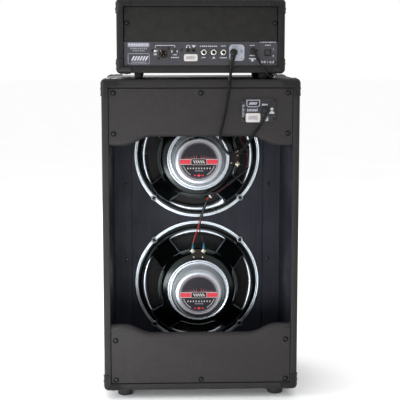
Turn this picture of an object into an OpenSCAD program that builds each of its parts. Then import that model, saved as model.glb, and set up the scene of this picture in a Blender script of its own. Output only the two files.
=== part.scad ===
// Half stack guitar amplifier: a small head on a tall open-backed cabinet with two 12 inch speakers.
// X runs across, +Y is the back with the sockets, -Y is the front with the grille and knobs, +Z is up.
// The origin is under the middle of the cabinet, on the floor.

/* [Cabinet] */
// Width of the cabinet over its side boards
cab_w = 430; // [426:2:460]
// Depth of the cabinet, front to back
cab_d = 305; // [303:1:315]
// Height of the cabinet without its feet
cab_h = 692; // [690:1:720]
// Thickness of the side and bottom boards
board_t = 15; // [14:0.5:16]
// Thickness of the top board
top_t = 18; // [15:0.5:20]
// Radius of the boxes' long outer edges
edge_r = 8; // [4:1:10]
// Height of the cabinet's rubber feet
foot_h = 20; // [18:1:30]
// Diameter of the cabinet's rubber feet
foot_dia = 36; // [30:1:40]

/* [Back boards] */
// Thickness of a back board
back_t = 12; // [10:0.5:14]
// How far the back boards sit inside the rear edge
back_recess = 2; // [1:0.5:4]
// Height of the upper back board at its ends
upper_back_h = 125; // [110:1:130]
// Height of the lower back board at its ends
lower_back_h = 134; // [110:1:134]
// How much lower each back board is in its middle
back_dip = 20; // [10:1:25]

/* [Speakers] */
// Outer diameter of a speaker's rim
rim_dia = 306; // [300:1:308]
// Distance between the two speaker centres
speaker_pitch = 314; // [312:1:320]
// Depth of a speaker from the baffle to the back of its magnet
speaker_depth = 132; // [128:1:138]
// Diameter of the magnet's cover
magnet_dia = 148; // [140:1:150]
// Diameter of the circle of rim bolts
bolt_circle = 297; // [294:1:298]

/* [Head] */
// Width of the head over its side boards
head_w = 362; // [358:1:364]
// Depth of the head, front to back
head_d = 200; // [196:1:204]
// Height of the head without its feet
head_h = 157; // [155:1:160]
// How far the head's back is inside the cabinet's back
head_setback = 3; // [0:0.5:5]
// Height of the head's rubber feet
head_foot_h = 13; // [13:0.5:16]
// Height of the front and rear panels
panel_h = 51; // [50:0.5:54]
// Diameter of the jack sockets' bores
jack_bore_dia = 6.5; // [6.4:0.05:6.6]

/* [Controls] */
// Diameter of a knob at its skirt
knob_dia = 19; // [15:0.5:20]
// Height of a knob above its skirt's lower face
knob_h = 14; // [12:0.5:16]
// Distance between knob centres
knob_pitch = 34; // [30:0.5:34]
// Tilt of the power rocker each way from level, in degrees
rocker_tilt = 10; // [6:1:10]

/* [Leads] */
// Diameter of the speaker lead
lead_dia = 6.5; // [5:0.5:7]
// Diameter of the low voltage lead
dc_dia = 4; // [3.5:0.5:4]

/* [Hidden] */
$fn = 48;

vinyl = "#2b2a2b";
plastic = "#151516";
steel = "#8d9196";
board_grey = "#232325";

// Cabinet levels and faces
cab_z0 = foot_h;
cab_z1 = foot_h + cab_h;
cab_back = cab_d / 2;
cab_front = -cab_d / 2;
inner_x = cab_w / 2 - board_t;
floor_z = cab_z0 + board_t;
ceiling_z = cab_z1 - top_t;
back_face = cab_back - back_recess;
baffle_t = 18;
baffle_y1 = cab_front + 37;
baffle_y0 = baffle_y1 - baffle_t;
cleat_t = 18;
cleat_w = 40;
batten = 18;
grille_t = 7;
grille_y0 = cab_front + 5;
foot_x = cab_w / 2 - 45;
foot_y = cab_d / 2 - 42;

// Speakers
mid_z = cab_z0 + 343;
upper_z = mid_z + speaker_pitch / 2;
lower_z = mid_z - speaker_pitch / 2;
rim_r = rim_dia / 2;
rim_t = 3;
hole_r = rim_r - 12;
magnet_y1 = baffle_y1 + speaker_depth;
magnet_y0 = magnet_y1 - 44;
basket_back = magnet_y0 - 8;
spider_y = baffle_y1 + 62;
coil_r = 26;
ear_r = 9;
cone_r = 120;
lip_r = rim_r - 23;
cone_y0 = baffle_y1 + 6;
neck_y = baffle_y1 + 55;
plate_r = 84;
tag_x = 13;

// Back board screws
screw_x = cab_w / 2 - 26;
upper_screw_z = [cab_z1 - 29, cab_z1 - 117];
lower_screw_z = [cab_z0 + 114.5, cab_z0 + 24];
shank_r = 2;
shank_hole_r = 2.1;
cleat_screw_z = [cab_z0 + 430, cab_z0 + 246];

// Head levels and faces
head_z0 = cab_z1 + head_foot_h;
head_z1 = head_z0 + head_h;
head_back = cab_back - head_setback;
head_front = head_back - head_d;
head_inner = head_w / 2 - board_t;
panel_z0 = head_z0 + board_t + 1;
panel_z1 = panel_z0 + panel_h;
panel_t = 2;
rear_face = head_back - 3.5;
front_face = head_front + 12;
head_foot_x = 135;
head_foot_y = [head_back - 25, head_front + 20.5];
head_board_t = 8;

// Rear panel positions
jack_z = head_z0 + 44.5;
jack_x = [-6.4, -27.6, -48.8, -70];
mini_x = [27.3, 15.7];
mini_z = head_z0 + 49;
xlr_x = 80.4;
xlr_z = head_z0 + 42;
lift_x = 97;
sim_x = 55.7;
small_z = head_z0 + 47.2;
dc_x = -111.2;
dc_z = head_z0 + 48.5;
rocker_x = -143.8;
rocker_z = head_z0 + 43.4;
rocker_y = rear_face - 1;
bore_r = jack_bore_dia / 2;
jack_depth = 24;
socket_depth = 30;
mini_r = 1.8;
xlr_r = 9.6;
xlr_depth = 13;

// Front panel positions
control_z = panel_z0 + 25;
knob_x = [for (i = [0:6]) 92 - i * knob_pitch];
input_x = 146;
channel_x = 120;
lamp_x = -146;
shaft_r = 3;

// Input plate on the upper back board
plate_x = -125.2;
plate_z = cab_z1 - 66.6;
plate_size = [76, 51];
plate_t = 2;
cab_jack_x = -139.2;
cab_jack_z = cab_z1 - 64.7;
plate_back = back_face + plate_t;

// Low voltage supply on the cabinet's top, in front of the head
brick_x = -156;
brick_y0 = cab_front + 2.5;
brick_size = [44, 82, 30];
brick_tail_z = cab_z1 + 9;
brick_tail_y = -54;
dc_coil_x = -143;
dc_coil_y = 45;
dc_coil_out_r = 26;
dc_coil_in_r = 14;
dc_coil_h = 12;

// Speaker lead: down from the head's plug in a loop behind the boxes, up to the cabinet's plug
plug_r = 8;
plug_h = 14;
plug_arm = 32;
arm_y = 10;
head_plug_turn = -9;
cab_plug_turn = -18;
speaker_lead_route = [
    [-65, 156, 738],
    [-63.5, 156.5, 725],
    [-62, 157.5, 711],
    [-59.5, 159, 690],
    [-56.5, 160, 670],
    [-53.5, 161, 650],
    [-49, 162, 630],
    [-44.5, 162, 610],
    [-41, 162, 596],
    [-41.5, 161.5, 583],
    [-45.5, 161, 571],
    [-53, 160.5, 558],
    [-64, 160, 550.5],
    [-77, 160, 551.5],
    [-91, 160.5, 562],
    [-102, 161, 576],
    [-111, 161.5, 590],
    [-119.5, 162, 602],
    [-129.3, 162.5, 617]
];

// Low voltage lead: down from the head's inlet, under the head to the coil, on to the supply
dc_plug_turn = 33;
dc_plug_arm = 17;
dc_arm_y = 7;
dc_route_in = [
    [-120.5, 153, 759],
    [-124, 153.5, 753],
    [-128, 154, 746],
    [-134, 154, 736],
    [-139, 153.5, 728.5],
    [-144.5, 152, 721.5],
    [-151, 147, 716.5],
    [-156.5, 137, 714.4],
    [-160, 122, 714.2],
    [-163, 104, 714.2],
    [-165.5, 84, 714.2],
    [-166.8, 64, 714.2],
    [-167, 52, 714.2]
];
dc_route_out = [
    [-167, 38, 722.2],
    [-166.6, 26, 721.5],
    [-165, 10, 719],
    [-162.3, -7, 717.6],
    [-159.4, -22, 717.6],
    [-157.3, -34, 719],
    [-156.2, -44, 720.5],
    [-156, -54, 721]
];

// Wire pairs inside the cabinet, as [x, y, z, half spread in x, half spread in z]:
// from the input plate to the upper speaker, then down to the lower speaker
wire_r = 1.3;
plate_wire_route = [
    [-139, 128, 650, 4, 0],
    [-137, 116, 646, 3, 0],
    [-132, 96, 636, 1.7, 0],
    [-122, 68, 622, 1.7, 0],
    [-111, 38, 606, 1.7, 0],
    [-103, 8, 592, 1.7, 0],
    [-99, -12, 576, 1.7, 0],
    [-103, -26, 560, 2, 0],
    [-112, -32, 546, 2, 2],
    [-118, -33, 532, 1, 7],
    [-114, -32, 520, 0, 12]
];
link_wire_route = [
    [-114, -31, 520, 0, 12],
    [-117, -29, 508, 1, 6],
    [-112, -27, 494, 1.7, 1],
    [-98, -25, 482, 1.7, 0],
    [-80, -23, 468, 1.7, 0],
    [-60, -21, 452, 1.7, 0],
    [-40, -18, 439, 1.7, 0],
    [-26, -17, 430, 1.7, 0],
    [-19, -18, 420, 1.7, 0],
    [-12, -20, 400, 1.7, 0],
    [-5, -23, 376, 1.7, 0],
    [-1, -27, 352, 2.5, 0],
    [0, -30, 334, 8, 0],
    [0, -31.5, 317, 13, 0]
];

// ---------- shared shapes ----------

module block(x0, x1, y0, y1, z0, z1) {
    translate([x0, y0, z0]) cube([x1 - x0, y1 - y0, z1 - z0]);
}

// A rod along Y, centred on the Z axis' origin
module rod_y(r, y0, y1) {
    translate([0, y0, 0]) rotate([-90, 0, 0]) cylinder(r = r, h = y1 - y0);
}

// Extrudes an outline drawn in X and Z from y0 to y1
module along_y(y0, y1) {
    translate([0, y1, 0]) rotate([90, 0, 0]) linear_extrude(y1 - y0) children();
}

// Turns a profile of (radius, y) points about the Y axis
module turned_y() {
    rotate([-90, 0, 0]) rotate_extrude() children();
}

module at(x, z) {
    translate([x, 0, z]) children();
}

// A rectangle with round corners, centred across and standing on its lower edge
module rounded_rect(w, h, r) {
    translate([-w / 2 + r, 0]) square([w - 2 * r, h]);
    translate([-w / 2, r]) square([w, h - 2 * r]);
    for (x = [-w / 2 + r, w / 2 - r], y = [r, h - r]) translate([x, y]) circle(r);
}

// The points of a half wave from a to b, for the back boards' edges
function half_wave(a, b) =
    [for (i = [0:12]) let (t = i / 12) [a[0] + (b[0] - a[0]) * t,
        a[1] + (b[1] - a[1]) * (1 - cos(180 * t)) / 2]];

// Points of a smooth curve through a route's points
function spline(p, a, b, c, t) = 0.5 * ((2 * a) + (b - p) * t + (2 * p - 5 * a + 4 * b - c) * t * t
    + (3 * a - p - 3 * b + c) * t * t * t);
function smooth(pts, steps) = let (n = len(pts) - 1)
    [for (i = [0:n - 1], k = [0:steps - 1])
        spline(pts[max(i - 1, 0)], pts[i], pts[i + 1], pts[min(i + 2, n)], k / steps), pts[n]];

function unit(v) = v / norm(v);
function tangent(pts, i) = unit(pts[min(i + 1, len(pts) - 1)] - pts[max(i - 1, 0)]);
// Carries a side direction along the route without twist
function sides_along(pts, i, side) = let (t = tangent(pts, i), s = unit(side - (side * t) * t))
    i == len(pts) - 1 ? [s] : concat([s], sides_along(pts, i + 1, s));

// A round tube swept along points, as one closed polyhedron
module tube(pts, r, n, side = [1, 0, 0]) {
    count = len(pts);
    across = sides_along(pts, 0, side);
    rings = [for (i = [0:count - 1]) let (t = tangent(pts, i), u = across[i], v = cross(t, u))
        for (k = [0:n - 1]) pts[i] + r * (cos(360 * k / n) * u + sin(360 * k / n) * v)];
    walls = [for (i = [0:count - 2], k = [0:n - 1]) let (j = (k + 1) % n)
        [i * n + k, i * n + j, (i + 1) * n + j, (i + 1) * n + k]];
    ends = [[for (k = [n - 1:-1:0]) k], [for (k = [0:n - 1]) (count - 1) * n + k]];
    polyhedron(rings, concat([for (w = walls) [w[3], w[2], w[1], w[0]]],
        [for (e = ends) [for (k = [n - 1:-1:0]) e[k]]]));
}

// ---------- boxes ----------

module box_outline(w, z0, h, r) {
    translate([0, z0]) rounded_rect(w, h, r);
}

// A horizontal board of a box with the box's rounded long edges
module level_board(w, z0, h, y0, y1, from_z, to_z) {
    along_y(y0, y1) intersection() {
        box_outline(w, z0, h, edge_r);
        translate([-w / 2, from_z]) square([w, to_z - from_z]);
    }
}

module cab_top() {
    color(vinyl) level_board(cab_w, cab_z0, cab_h, cab_front, cab_back, ceiling_z, cab_z1);
}

module cab_bottom() {
    color(vinyl) level_board(cab_w, cab_z0, cab_h, cab_front, cab_back, cab_z0, floor_z);
}

module cab_side(side) {
    color(vinyl) scale([side, 1, 1])
        block(inner_x, cab_w / 2, cab_front, cab_back, floor_z, ceiling_z);
}

module head_top() {
    color(vinyl)
        level_board(head_w, head_z0, head_h, head_front, head_back, head_z1 - board_t, head_z1);
}

module head_bottom() {
    color(vinyl)
        level_board(head_w, head_z0, head_h, head_front, head_back, head_z0, head_z0 + board_t);
}

module head_side(side) {
    color(vinyl) scale([side, 1, 1])
        block(head_inner, head_w / 2, head_front, head_back, head_z0 + board_t, head_z1 - board_t);
}

// Back board outline: ends at end_z, the middle at end_z + dip, the straight edge at flat_z
module back_outline(end_z, dip, flat_z) {
    w = inner_x - 0.5;
    turn = w - 29;
    level = 106;
    left = half_wave([-turn, end_z], [-level, end_z + dip]);
    right = half_wave([level, end_z + dip], [turn, end_z]);
    polygon(concat([[-w, flat_z], [-w, end_z]], left, right, [[w, end_z], [w, flat_z]]));
}

module cab_back_upper() {
    end_z = ceiling_z - 1.5 - upper_back_h;
    color(board_grey) difference() {
        along_y(back_face - back_t, back_face) back_outline(end_z, back_dip, ceiling_z - 1.5);
        for (x = [-screw_x, 0, screw_x]) at(x, upper_screw_z[0])
            rod_y(shank_hole_r, cab_back - 30, cab_back);
        for (x = [-screw_x, screw_x]) at(x, upper_screw_z[1])
            rod_y(shank_hole_r, cab_back - 30, cab_back);
        at(cab_jack_x, cab_jack_z) rod_y(16, cab_back - 30, cab_back);
        plate_corners() rod_y(1.6, cab_back - 30, cab_back);
    }
}

module cab_back_lower() {
    color(board_grey) difference() {
        along_y(back_face - back_t, back_face)
            back_outline(floor_z + 1 + lower_back_h, -back_dip, floor_z + 1);
        for (x = [-screw_x, 0, screw_x]) at(x, lower_screw_z[1])
            rod_y(shank_hole_r, cab_back - 30, cab_back);
        for (x = [-screw_x, screw_x]) at(x, lower_screw_z[0])
            rod_y(shank_hole_r, cab_back - 30, cab_back);
    }
}

// Wooden strips that the baffle and the back boards are screwed to
module cleats() {
    y1 = back_face - back_t;
    color("#1d1c1d") difference() {
        union() {
            for (side = [-1, 1]) scale([side, 1, 1]) {
                block(inner_x - cleat_w, inner_x, baffle_y1, baffle_y1 + cleat_t, floor_z, ceiling_z);
                block(inner_x - batten, inner_x, y1 - batten, y1, ceiling_z - 120, ceiling_z - batten);
                block(inner_x - batten, inner_x, y1 - batten, y1, floor_z + batten, floor_z + 125);
            }
            block(-inner_x, inner_x, y1 - batten, y1, ceiling_z - batten, ceiling_z);
            block(-inner_x, inner_x, y1 - batten, y1, floor_z, floor_z + batten);
        }
        for (x = [-screw_x, screw_x], z = [upper_screw_z[0], upper_screw_z[1], lower_screw_z[0],
            lower_screw_z[1]]) at(x, z) rod_y(shank_hole_r, y1 - 14, y1 + 1);
        for (z = [upper_screw_z[0], lower_screw_z[1]]) at(0, z) rod_y(shank_hole_r, y1 - 14, y1 + 1);
        for (x = [-inner_x + 28, inner_x - 28], z = cleat_screw_z)
            at(x, z) rod_y(1.6, baffle_y1 + 5, baffle_y1 + cleat_t + 1);
    }
}

module rim_bolts() {
    for (a = [45:90:315]) rotate([0, a, 0]) translate([bolt_circle / 2, 0, 0]) children();
}

module baffle() {
    color("#1b1b1c") difference() {
        block(-inner_x, inner_x, baffle_y0, baffle_y1, floor_z, ceiling_z);
        for (z = [upper_z, lower_z]) at(0, z) {
            rod_y(hole_r, baffle_y0 - 1, baffle_y1 + 1);
            rim_bolts() rod_y(2.6, baffle_y1 - 14, baffle_y1 + 1);
        }
    }
}

// Grille frame with its cloth, in front of the baffle
module front_grille() {
    w = inner_x - 1;
    color("#1a1a1b") {
        block(-w, w, grille_y0, grille_y0 + 2, floor_z + 1, ceiling_z - 1);
        difference() {
            block(-w, w, grille_y0 + 2, grille_y0 + grille_t, floor_z + 1, ceiling_z - 1);
            block(-w + 24, w - 24, grille_y0, grille_y0 + 20, floor_z + 25, ceiling_z - 25);
        }
    }
}

// One moulded protector over the corner of a box, drawn for the corner at +X, +Y, top
module corner_protector(w, z0, h, back, leg) {
    skin = 1.8;
    z1 = z0 + h;
    face_w = 13;
    intersection() {
        difference() {
            along_y(back - leg, back + skin) box_outline(w + 2 * skin, z0 - skin, h + 2 * skin,
                edge_r + skin);
            along_y(back - leg - 1, back) box_outline(w, z0, h, edge_r);
            block(0, w / 2 - face_w, back - 1, back + 5, z0, z1 - face_w);
        }
        union() {
            block(w / 2 - leg, w, back - leg, back + 5, z1 - leg, z1 + 5);
        }
    }
}

module box_corners(w, z0, h, y_mid, depth, leg) {
    z_mid = z0 + h / 2;
    for (sx = [0, 1], sy = [0, 1], sz = [0, 1])
        translate([0, y_mid, z_mid]) mirror([sx, 0, 0]) mirror([0, sy, 0]) mirror([0, 0, sz])
            translate([0, -y_mid, -z_mid]) corner_protector(w, z0, h, y_mid + depth / 2, leg);
}

module corner_protectors() {
    color(plastic) {
        difference() {
            box_corners(cab_w, cab_z0, cab_h, 0, cab_d, 34);
            for (x = [-foot_x, foot_x], y = [-foot_y, foot_y])
                translate([x, y, 0]) cylinder(r = foot_dia / 2 + 1, h = foot_h + 1);
        }
        box_corners(head_w, head_z0, head_h, (head_back + head_front) / 2, head_d, 28);
    }
}

// Tapered rubber foot with a washer recess underneath
module foot(r, h) {
    difference() {
        rotate_extrude() polygon([[0, 0], [r - 2, 0], [r - 0.6, 1.5], [r, h - 3], [r, h], [0, h]]);
        translate([0, 0, -1]) cylinder(r = r * 0.36, h = h * 0.4);
    }
}

module cab_feet() {
    color(plastic) for (x = [-foot_x, foot_x], y = [-foot_y, foot_y])
        translate([x, y, 0]) foot(foot_dia / 2, foot_h);
}

module head_feet() {
    color(plastic) for (x = [-head_foot_x, head_foot_x], y = head_foot_y)
        translate([x, y, cab_z1]) foot(9, head_foot_h);
}

// ---------- speakers ----------

// Pressed steel basket: rim, sloping wall with four windows, spider shelf and back plate
module basket() {
    wall = 2.2;
    slope_top = rim_r - 17;
    shelf_r = 104;
    difference() {
        union() {
            turned_y() polygon([
                [lip_r, baffle_y1], [rim_r, baffle_y1], [rim_r, baffle_y1 + rim_t],
                [slope_top + 2, baffle_y1 + rim_t], [slope_top - 2, baffle_y1 + 16],
                [plate_r + wall, basket_back], [plate_r - 12, basket_back],
                [plate_r - 12, basket_back - wall], [plate_r - 1, basket_back - wall],
                [slope_top - 2 - wall - 1, baffle_y1 + 15], [lip_r, baffle_y1 + 8]]);
            turned_y() polygon([[30, basket_back - wall], [plate_r, basket_back - wall],
                [plate_r, basket_back], [30, basket_back]]);
            turned_y() polygon([[60, spider_y], [shelf_r, spider_y], [shelf_r - 3, spider_y + 4],
                [shelf_r - 6, spider_y + 2], [60, spider_y + 2]]);
            rim_bolts() rod_y(ear_r, baffle_y1, baffle_y1 + rim_t);
        }
        for (a = [0:90:270]) rotate([0, a, 0]) along_y(baffle_y1 + 12, basket_back + 1)
            polygon([[74, -30], [74, 30], [90, 52], [126, 62], [132, 40], [134, 0], [132, -40],
                [126, -62], [90, -52]]);
        rim_bolts() rod_y(2.8, baffle_y1 - 1, baffle_y1 + rim_t + 1);
    }
}

// Front plate, ceramic ring and pole under a cover: a rolled rim in front, then a tall dome
module magnet() {
    r = magnet_dia / 2;
    rim_y = magnet_y0 + 7;
    dome_r = r - 12;
    difference() {
        turned_y() polygon([[0, basket_back], [55, basket_back], [55, magnet_y0], [r - 3, magnet_y0],
            [r, magnet_y0 + 2.5], [r, rim_y - 2], [r - 2, rim_y], [dome_r + 1.5, rim_y],
            [dome_r, rim_y + 2], [dome_r - 2, magnet_y1 - 16], [dome_r - 3, magnet_y1 - 9],
            [dome_r - 5.5, magnet_y1 - 4.8], [dome_r - 8.5, magnet_y1 - 2.2], [dome_r - 12, magnet_y1],
            [0, magnet_y1]]);
        difference() {
            rod_y(coil_r + 1.5, basket_back - 1, basket_back + 16);
            rod_y(coil_r - 3, basket_back - 2, basket_back + 17);
        }
    }
}

// Paper cone with its dust cap and voice coil tube
module cone() {
    paper = 1;
    turned_y() polygon([[coil_r - 1, neck_y], [coil_r - 1, basket_back + 6],
        [coil_r, basket_back + 6], [coil_r, neck_y + 2], [cone_r, cone_y0 + paper],
        [cone_r, cone_y0], [coil_r + 14, neck_y - 7], [coil_r + 6, neck_y - 13],
        [0, neck_y - 21], [0, neck_y - 20], [coil_r + 5, neck_y - 12], [coil_r + 12, neck_y - 6]]);
}

// A ring section that waves count times between two radii
module waved_ring(r0, r1, y, height, count, skin) {
    steps = count * 4;
    wave = [for (i = [0:steps]) [r0 + (r1 - r0) * i / steps, y + height * sin(360 * count * i / steps)]];
    turned_y() polygon(concat(wave, [for (i = [steps:-1:0]) wave[i] + [0, skin]]));
}

// Surround and spider of both speakers, the flexing rings between basket and cone
module suspensions() {
    color("#101011") for (z = [upper_z, lower_z]) at(0, z) {
        waved_ring(cone_r + 0.6, lip_r, cone_y0, 2, 1, 1);
        waved_ring(coil_r + 0.6, 60, spider_y + 1, 1, 5, 0.8);
    }
}

// Tag board on the basket's back plate, with two tags and the crimped sleeves on them
module tag_board() {
    y0 = basket_back;
    block(70, 84, y0, y0 + 3, -16, 16);
    block(84, 97, y0 + 1, y0 + 3, -18, 18);
    for (z = [-tag_x, tag_x]) translate([0, 0, z]) {
        block(91, 102, y0 + 3, y0 + 3.8, -3.2, 3.2);
        translate([98, y0 + 4, 0]) rotate([0, 90, 0]) cylinder(r = 2.6, h = 14);
    }
}

// One beside the upper magnet, one above the lower magnet
module speaker_terminals() {
    color("#3a3230") {
        at(0, upper_z) mirror([1, 0, 0]) tag_board();
        at(0, lower_z) rotate([0, -90, 0]) tag_board();
    }
}

// ---------- head metalwork ----------

module rear_panel() {
    color("#3a3a3e") difference() {
        block(-head_inner + 1, head_inner - 1, rear_face - panel_t, rear_face, panel_z0, panel_z1);
        for (x = jack_x) at(x, jack_z) rod_y(4.8, rear_face - 5, rear_face + 1);
        for (x = mini_x) at(x, mini_z) rod_y(3, rear_face - 5, rear_face + 1);
        at(xlr_x, xlr_z) rod_y(12, rear_face - 5, rear_face + 1);
        at(dc_x, dc_z) rod_y(5.2, rear_face - 5, rear_face + 1);
        at(sim_x, small_z) rod_y(3.3, rear_face - 5, rear_face + 1);
        block(lift_x - 4.5, lift_x + 4.5, rear_face - 5, rear_face + 1, small_z - 2.5, small_z + 2.5);
        block(rocker_x - 6, rocker_x + 6, rear_face - 5, rear_face + 1, rocker_z - 6, rocker_z + 6);
    }
}

module front_panel() {
    color("#2c2c2e") difference() {
        block(-head_inner + 1, head_inner - 1, front_face, front_face + panel_t, panel_z0, panel_z1);
        for (x = knob_x) at(x, control_z) rod_y(4.7, front_face - 1, front_face + 5);
        at(input_x, control_z) rod_y(4.8, front_face - 1, front_face + 5);
        at(channel_x, control_z) rod_y(4.4, front_face - 1, front_face + 5);
        at(lamp_x, control_z) rod_y(3.1, front_face - 1, front_face + 5);
    }
}

// Folded steel tray between the two panels, standing on the head's bottom board
module chassis_tray() {
    w = head_inner - 2;
    y0 = front_face + panel_t;
    y1 = rear_face - panel_t;
    z0 = head_z0 + board_t;
    color(steel) union() {
        block(-w, w, y0, y1, z0, z0 + 1.5);
        for (side = [-1, 1]) scale([side, 1, 1]) block(w - 1.5, w, y0, y1, z0 + 1.5, z0 + 46);
    }
}

module head_back_board() {
    w = head_inner - 1;
    color(board_grey) difference() {
        block(-w, w, rear_face - head_board_t, rear_face, panel_z1 + 0.5, head_z1 - board_t - 0.5);
        for (x = [-w + 6, w - 6]) at(x, head_z1 - 50) rod_y(shank_hole_r, rear_face - 20, rear_face + 1);
    }
}

module head_front_board() {
    w = head_inner - 1;
    color("#1a1a1b") block(-w, w, front_face - 2, front_face + head_board_t - 2, panel_z1 + 0.5,
        head_z1 - board_t - 0.5);
}

// Circuit board on four pillars, with its tallest parts
module main_board() {
    z0 = head_z0 + board_t + 1.5;
    z1 = z0 + 8;
    color("#1f4a30") union() {
        block(-150, 150, 20, rear_face - 36, z1, z1 + 1.6);
        for (x = [-142, 142], y = [28, rear_face - 44]) translate([x, y, z0]) cylinder(r = 3, h = 8);
        for (x = [-120, -92]) translate([x, 40, z1 + 1.6]) cylinder(r = 11, h = 34);
        for (x = [20:22:130]) block(x, x + 12, 34, 46, z1 + 1.6, z1 + 9);
    }
}

module heat_sink() {
    z0 = head_z0 + board_t + 11.1;
    color("#9a9da1") union() {
        block(-70, 0, 70, 100, z0, z0 + 4);
        for (i = [0:8]) translate([-70 + i * 8.5, 0, 0]) block(0, 2, 70, 100, z0 + 4, z0 + 34);
    }
}

// ---------- sockets and controls ----------

// Panel jack facing +Y: body, threaded nose and nut, with a blind bore
module jack(face, depth) {
    difference() {
        union() {
            block(-8, 8, face - panel_t - depth, face - panel_t, -9, 9);
            rod_y(4.7, face - panel_t - 1, face + 3);
            along_y(face, face + 2) circle(6.6, $fn = 6);
        }
        rod_y(bore_r, face - depth, face + 4);
    }
}

module rear_jacks() {
    color("#b9bcc0") for (x = jack_x) at(x, jack_z) jack(rear_face, jack_depth + 4);
}

module input_jack() {
    color("#b9bcc0") at(input_x, control_z) mirror([0, 1, 0]) jack(-front_face, jack_depth + 4);
}

module cab_input_jack() {
    color("#b9bcc0") at(cab_jack_x, cab_jack_z) difference() {
        union() {
            rod_y(11, plate_back - plate_t - 24, plate_back - plate_t);
            rod_y(4.7, plate_back - plate_t - 1, plate_back + 3);
            along_y(plate_back, plate_back + 2) circle(6.6, $fn = 6);
        }
        rod_y(bore_r, plate_back - socket_depth + 6, plate_back + 4);
    }
}

module mini_jacks() {
    color(plastic) for (x = mini_x) at(x, mini_z) difference() {
        union() {
            block(-4, 4, rear_face - panel_t - 14, rear_face - panel_t, -5, 5);
            rod_y(2.9, rear_face - panel_t - 1, rear_face + 1);
        }
        rod_y(mini_r, rear_face - 14, rear_face + 2);
    }
}

// Three pin socket: flange on the panel, round cup and its pins
module xlr_socket() {
    color("#1d1d1f") at(xlr_x, xlr_z) {
        difference() {
            union() {
                block(-13, 13, rear_face, rear_face + 1.5, -13, 13);
                rod_y(11.8, rear_face - 18, rear_face + 1.5);
            }
            rod_y(xlr_r, rear_face + 1.5 - xlr_depth, rear_face + 3);
            for (s = [-1, 1]) at(-s * 10.2, s * 10.2) rod_y(1.7, rear_face - 1, rear_face + 3);
        }
        for (p = [[-6.3, 1], [6.3, 1], [0, -6.3]]) at(p[0], p[1])
            rod_y(1.2, rear_face + 1 - xlr_depth, rear_face - 2);
    }
}

module dc_inlet() {
    color(plastic) at(dc_x, dc_z) difference() {
        union() {
            block(-6, 6, rear_face - panel_t - 14, rear_face - panel_t, -6, 6);
            rod_y(5.1, rear_face - panel_t - 1, rear_face + 1.5);
        }
        rod_y(2.9, rear_face - 11, rear_face + 3);
    }
}

module rocker_bezel() {
    color(plastic) at(rocker_x, rocker_z) difference() {
        union() {
            block(-7, 7, rear_face, rear_face + 1.5, -7, 7);
            block(-5.9, 5.9, rear_face - 16, rear_face, -5.9, 5.9);
        }
        block(-5.4, 5.4, rear_face - 9, rear_face + 3, -5.4, 5.4);
    }
}

// Two-way rocker, held at one end of its travel
module power_rocker() {
    color("#0e0e0f") translate([rocker_x, rocker_y, rocker_z]) rotate([rocker_tilt, 0, 0])
        rotate([90, 0, 90]) translate([0, 0, -5]) linear_extrude(10)
            polygon([[-4.6, -1.6], [-1, -4.6], [2.7, -4.7], [1.4, 0], [2.7, 4.7], [-1, 4.6],
                [-4.6, 1.6]]);
}

// Two-way slider, drawn at one end of its slot
module lift_switch() {
    color("#e8e8e8") translate([lift_x + 1.5, 0, small_z])
        block(-1.75, 1.75, rear_face - 3, rear_face + 1.5, -1.9, 1.9);
}

module sim_button() {
    color(plastic) at(sim_x, small_z) {
        rod_y(3, rear_face - 6, rear_face + 4);
        rod_y(1.5, rear_face - 9, rear_face - 6);
    }
}

module channel_button() {
    color("#c9c9c9") at(channel_x, control_z) {
        rod_y(4, front_face - 5, front_face + 6);
        rod_y(1.8, front_face + 6, front_face + 9);
    }
}

// Fluted knob with a skirt, a pointer rib and its shaft
module knob(index) {
    y0 = front_face - 1 - knob_h;
    y1 = front_face - 1;
    r = knob_dia / 2;
    color("#121213") at(knob_x[index], control_z) {
        difference() {
            turned_y() polygon([[0, y0], [r - 3, y0], [r - 2.2, y0 + 1], [r - 1.6, y1 - 3],
                [r, y1 - 2], [r, y1], [0, y1]]);
            for (a = [30:30:330]) rotate([0, a, 0]) translate([0, 0, r - 0.9])
                rod_y(1.8, y0 - 1, y1 - 3.6);
        }
        block(-0.6, 0.6, y0 - 0.5, y0 + 1, 1, r - 3.2);
        rod_y(shaft_r, y1 - 0.1, front_face + 12);
    }
}

// Bodies behind the panels: seven pots and the three switches
module control_bodies() {
    y = front_face + panel_t;
    color("#6f7478") {
        for (x = knob_x) at(x, control_z) difference() {
            union() {
                rod_y(8, y, y + 12);
                rod_y(4.5, y - 2.5, y);
            }
            rod_y(shaft_r + 0.3, y - 4, y + 10.6);
        }
        at(channel_x, control_z) block(-6, 6, front_face + 12, front_face + 24, -6, 6);
        at(sim_x, small_z) block(-4, 4, rear_face - 24, rear_face - 12, -4, 4);
        at(lift_x, small_z) block(-4, 7, rear_face - 14, rear_face - 4, -4, 4);
    }
}

module pilot_lamp() {
    color("#b02020") at(lamp_x, control_z) {
        turned_y() polygon([[0, front_face - 2.5], [2, front_face - 2], [3, front_face],
            [3, front_face + 8], [0, front_face + 8]]);
    }
}

// ---------- input plate and screws ----------

module plate_corners() {
    for (sx = [-1, 1], sz = [-1, 1])
        at(plate_x + sx * (plate_size[0] / 2 - 5), plate_z + sz * (plate_size[1] / 2 - 5.5)) children();
}

module input_plate() {
    color("#1c1c1e") difference() {
        at(plate_x, plate_z) along_y(back_face, plate_back)
            translate([0, -plate_size[1] / 2]) rounded_rect(plate_size[0], plate_size[1], 2);
        at(cab_jack_x, cab_jack_z) rod_y(4.8, back_face - 1, plate_back + 1);
        plate_corners() rod_y(1.6, back_face - 1, plate_back + 1);
    }
}

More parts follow.
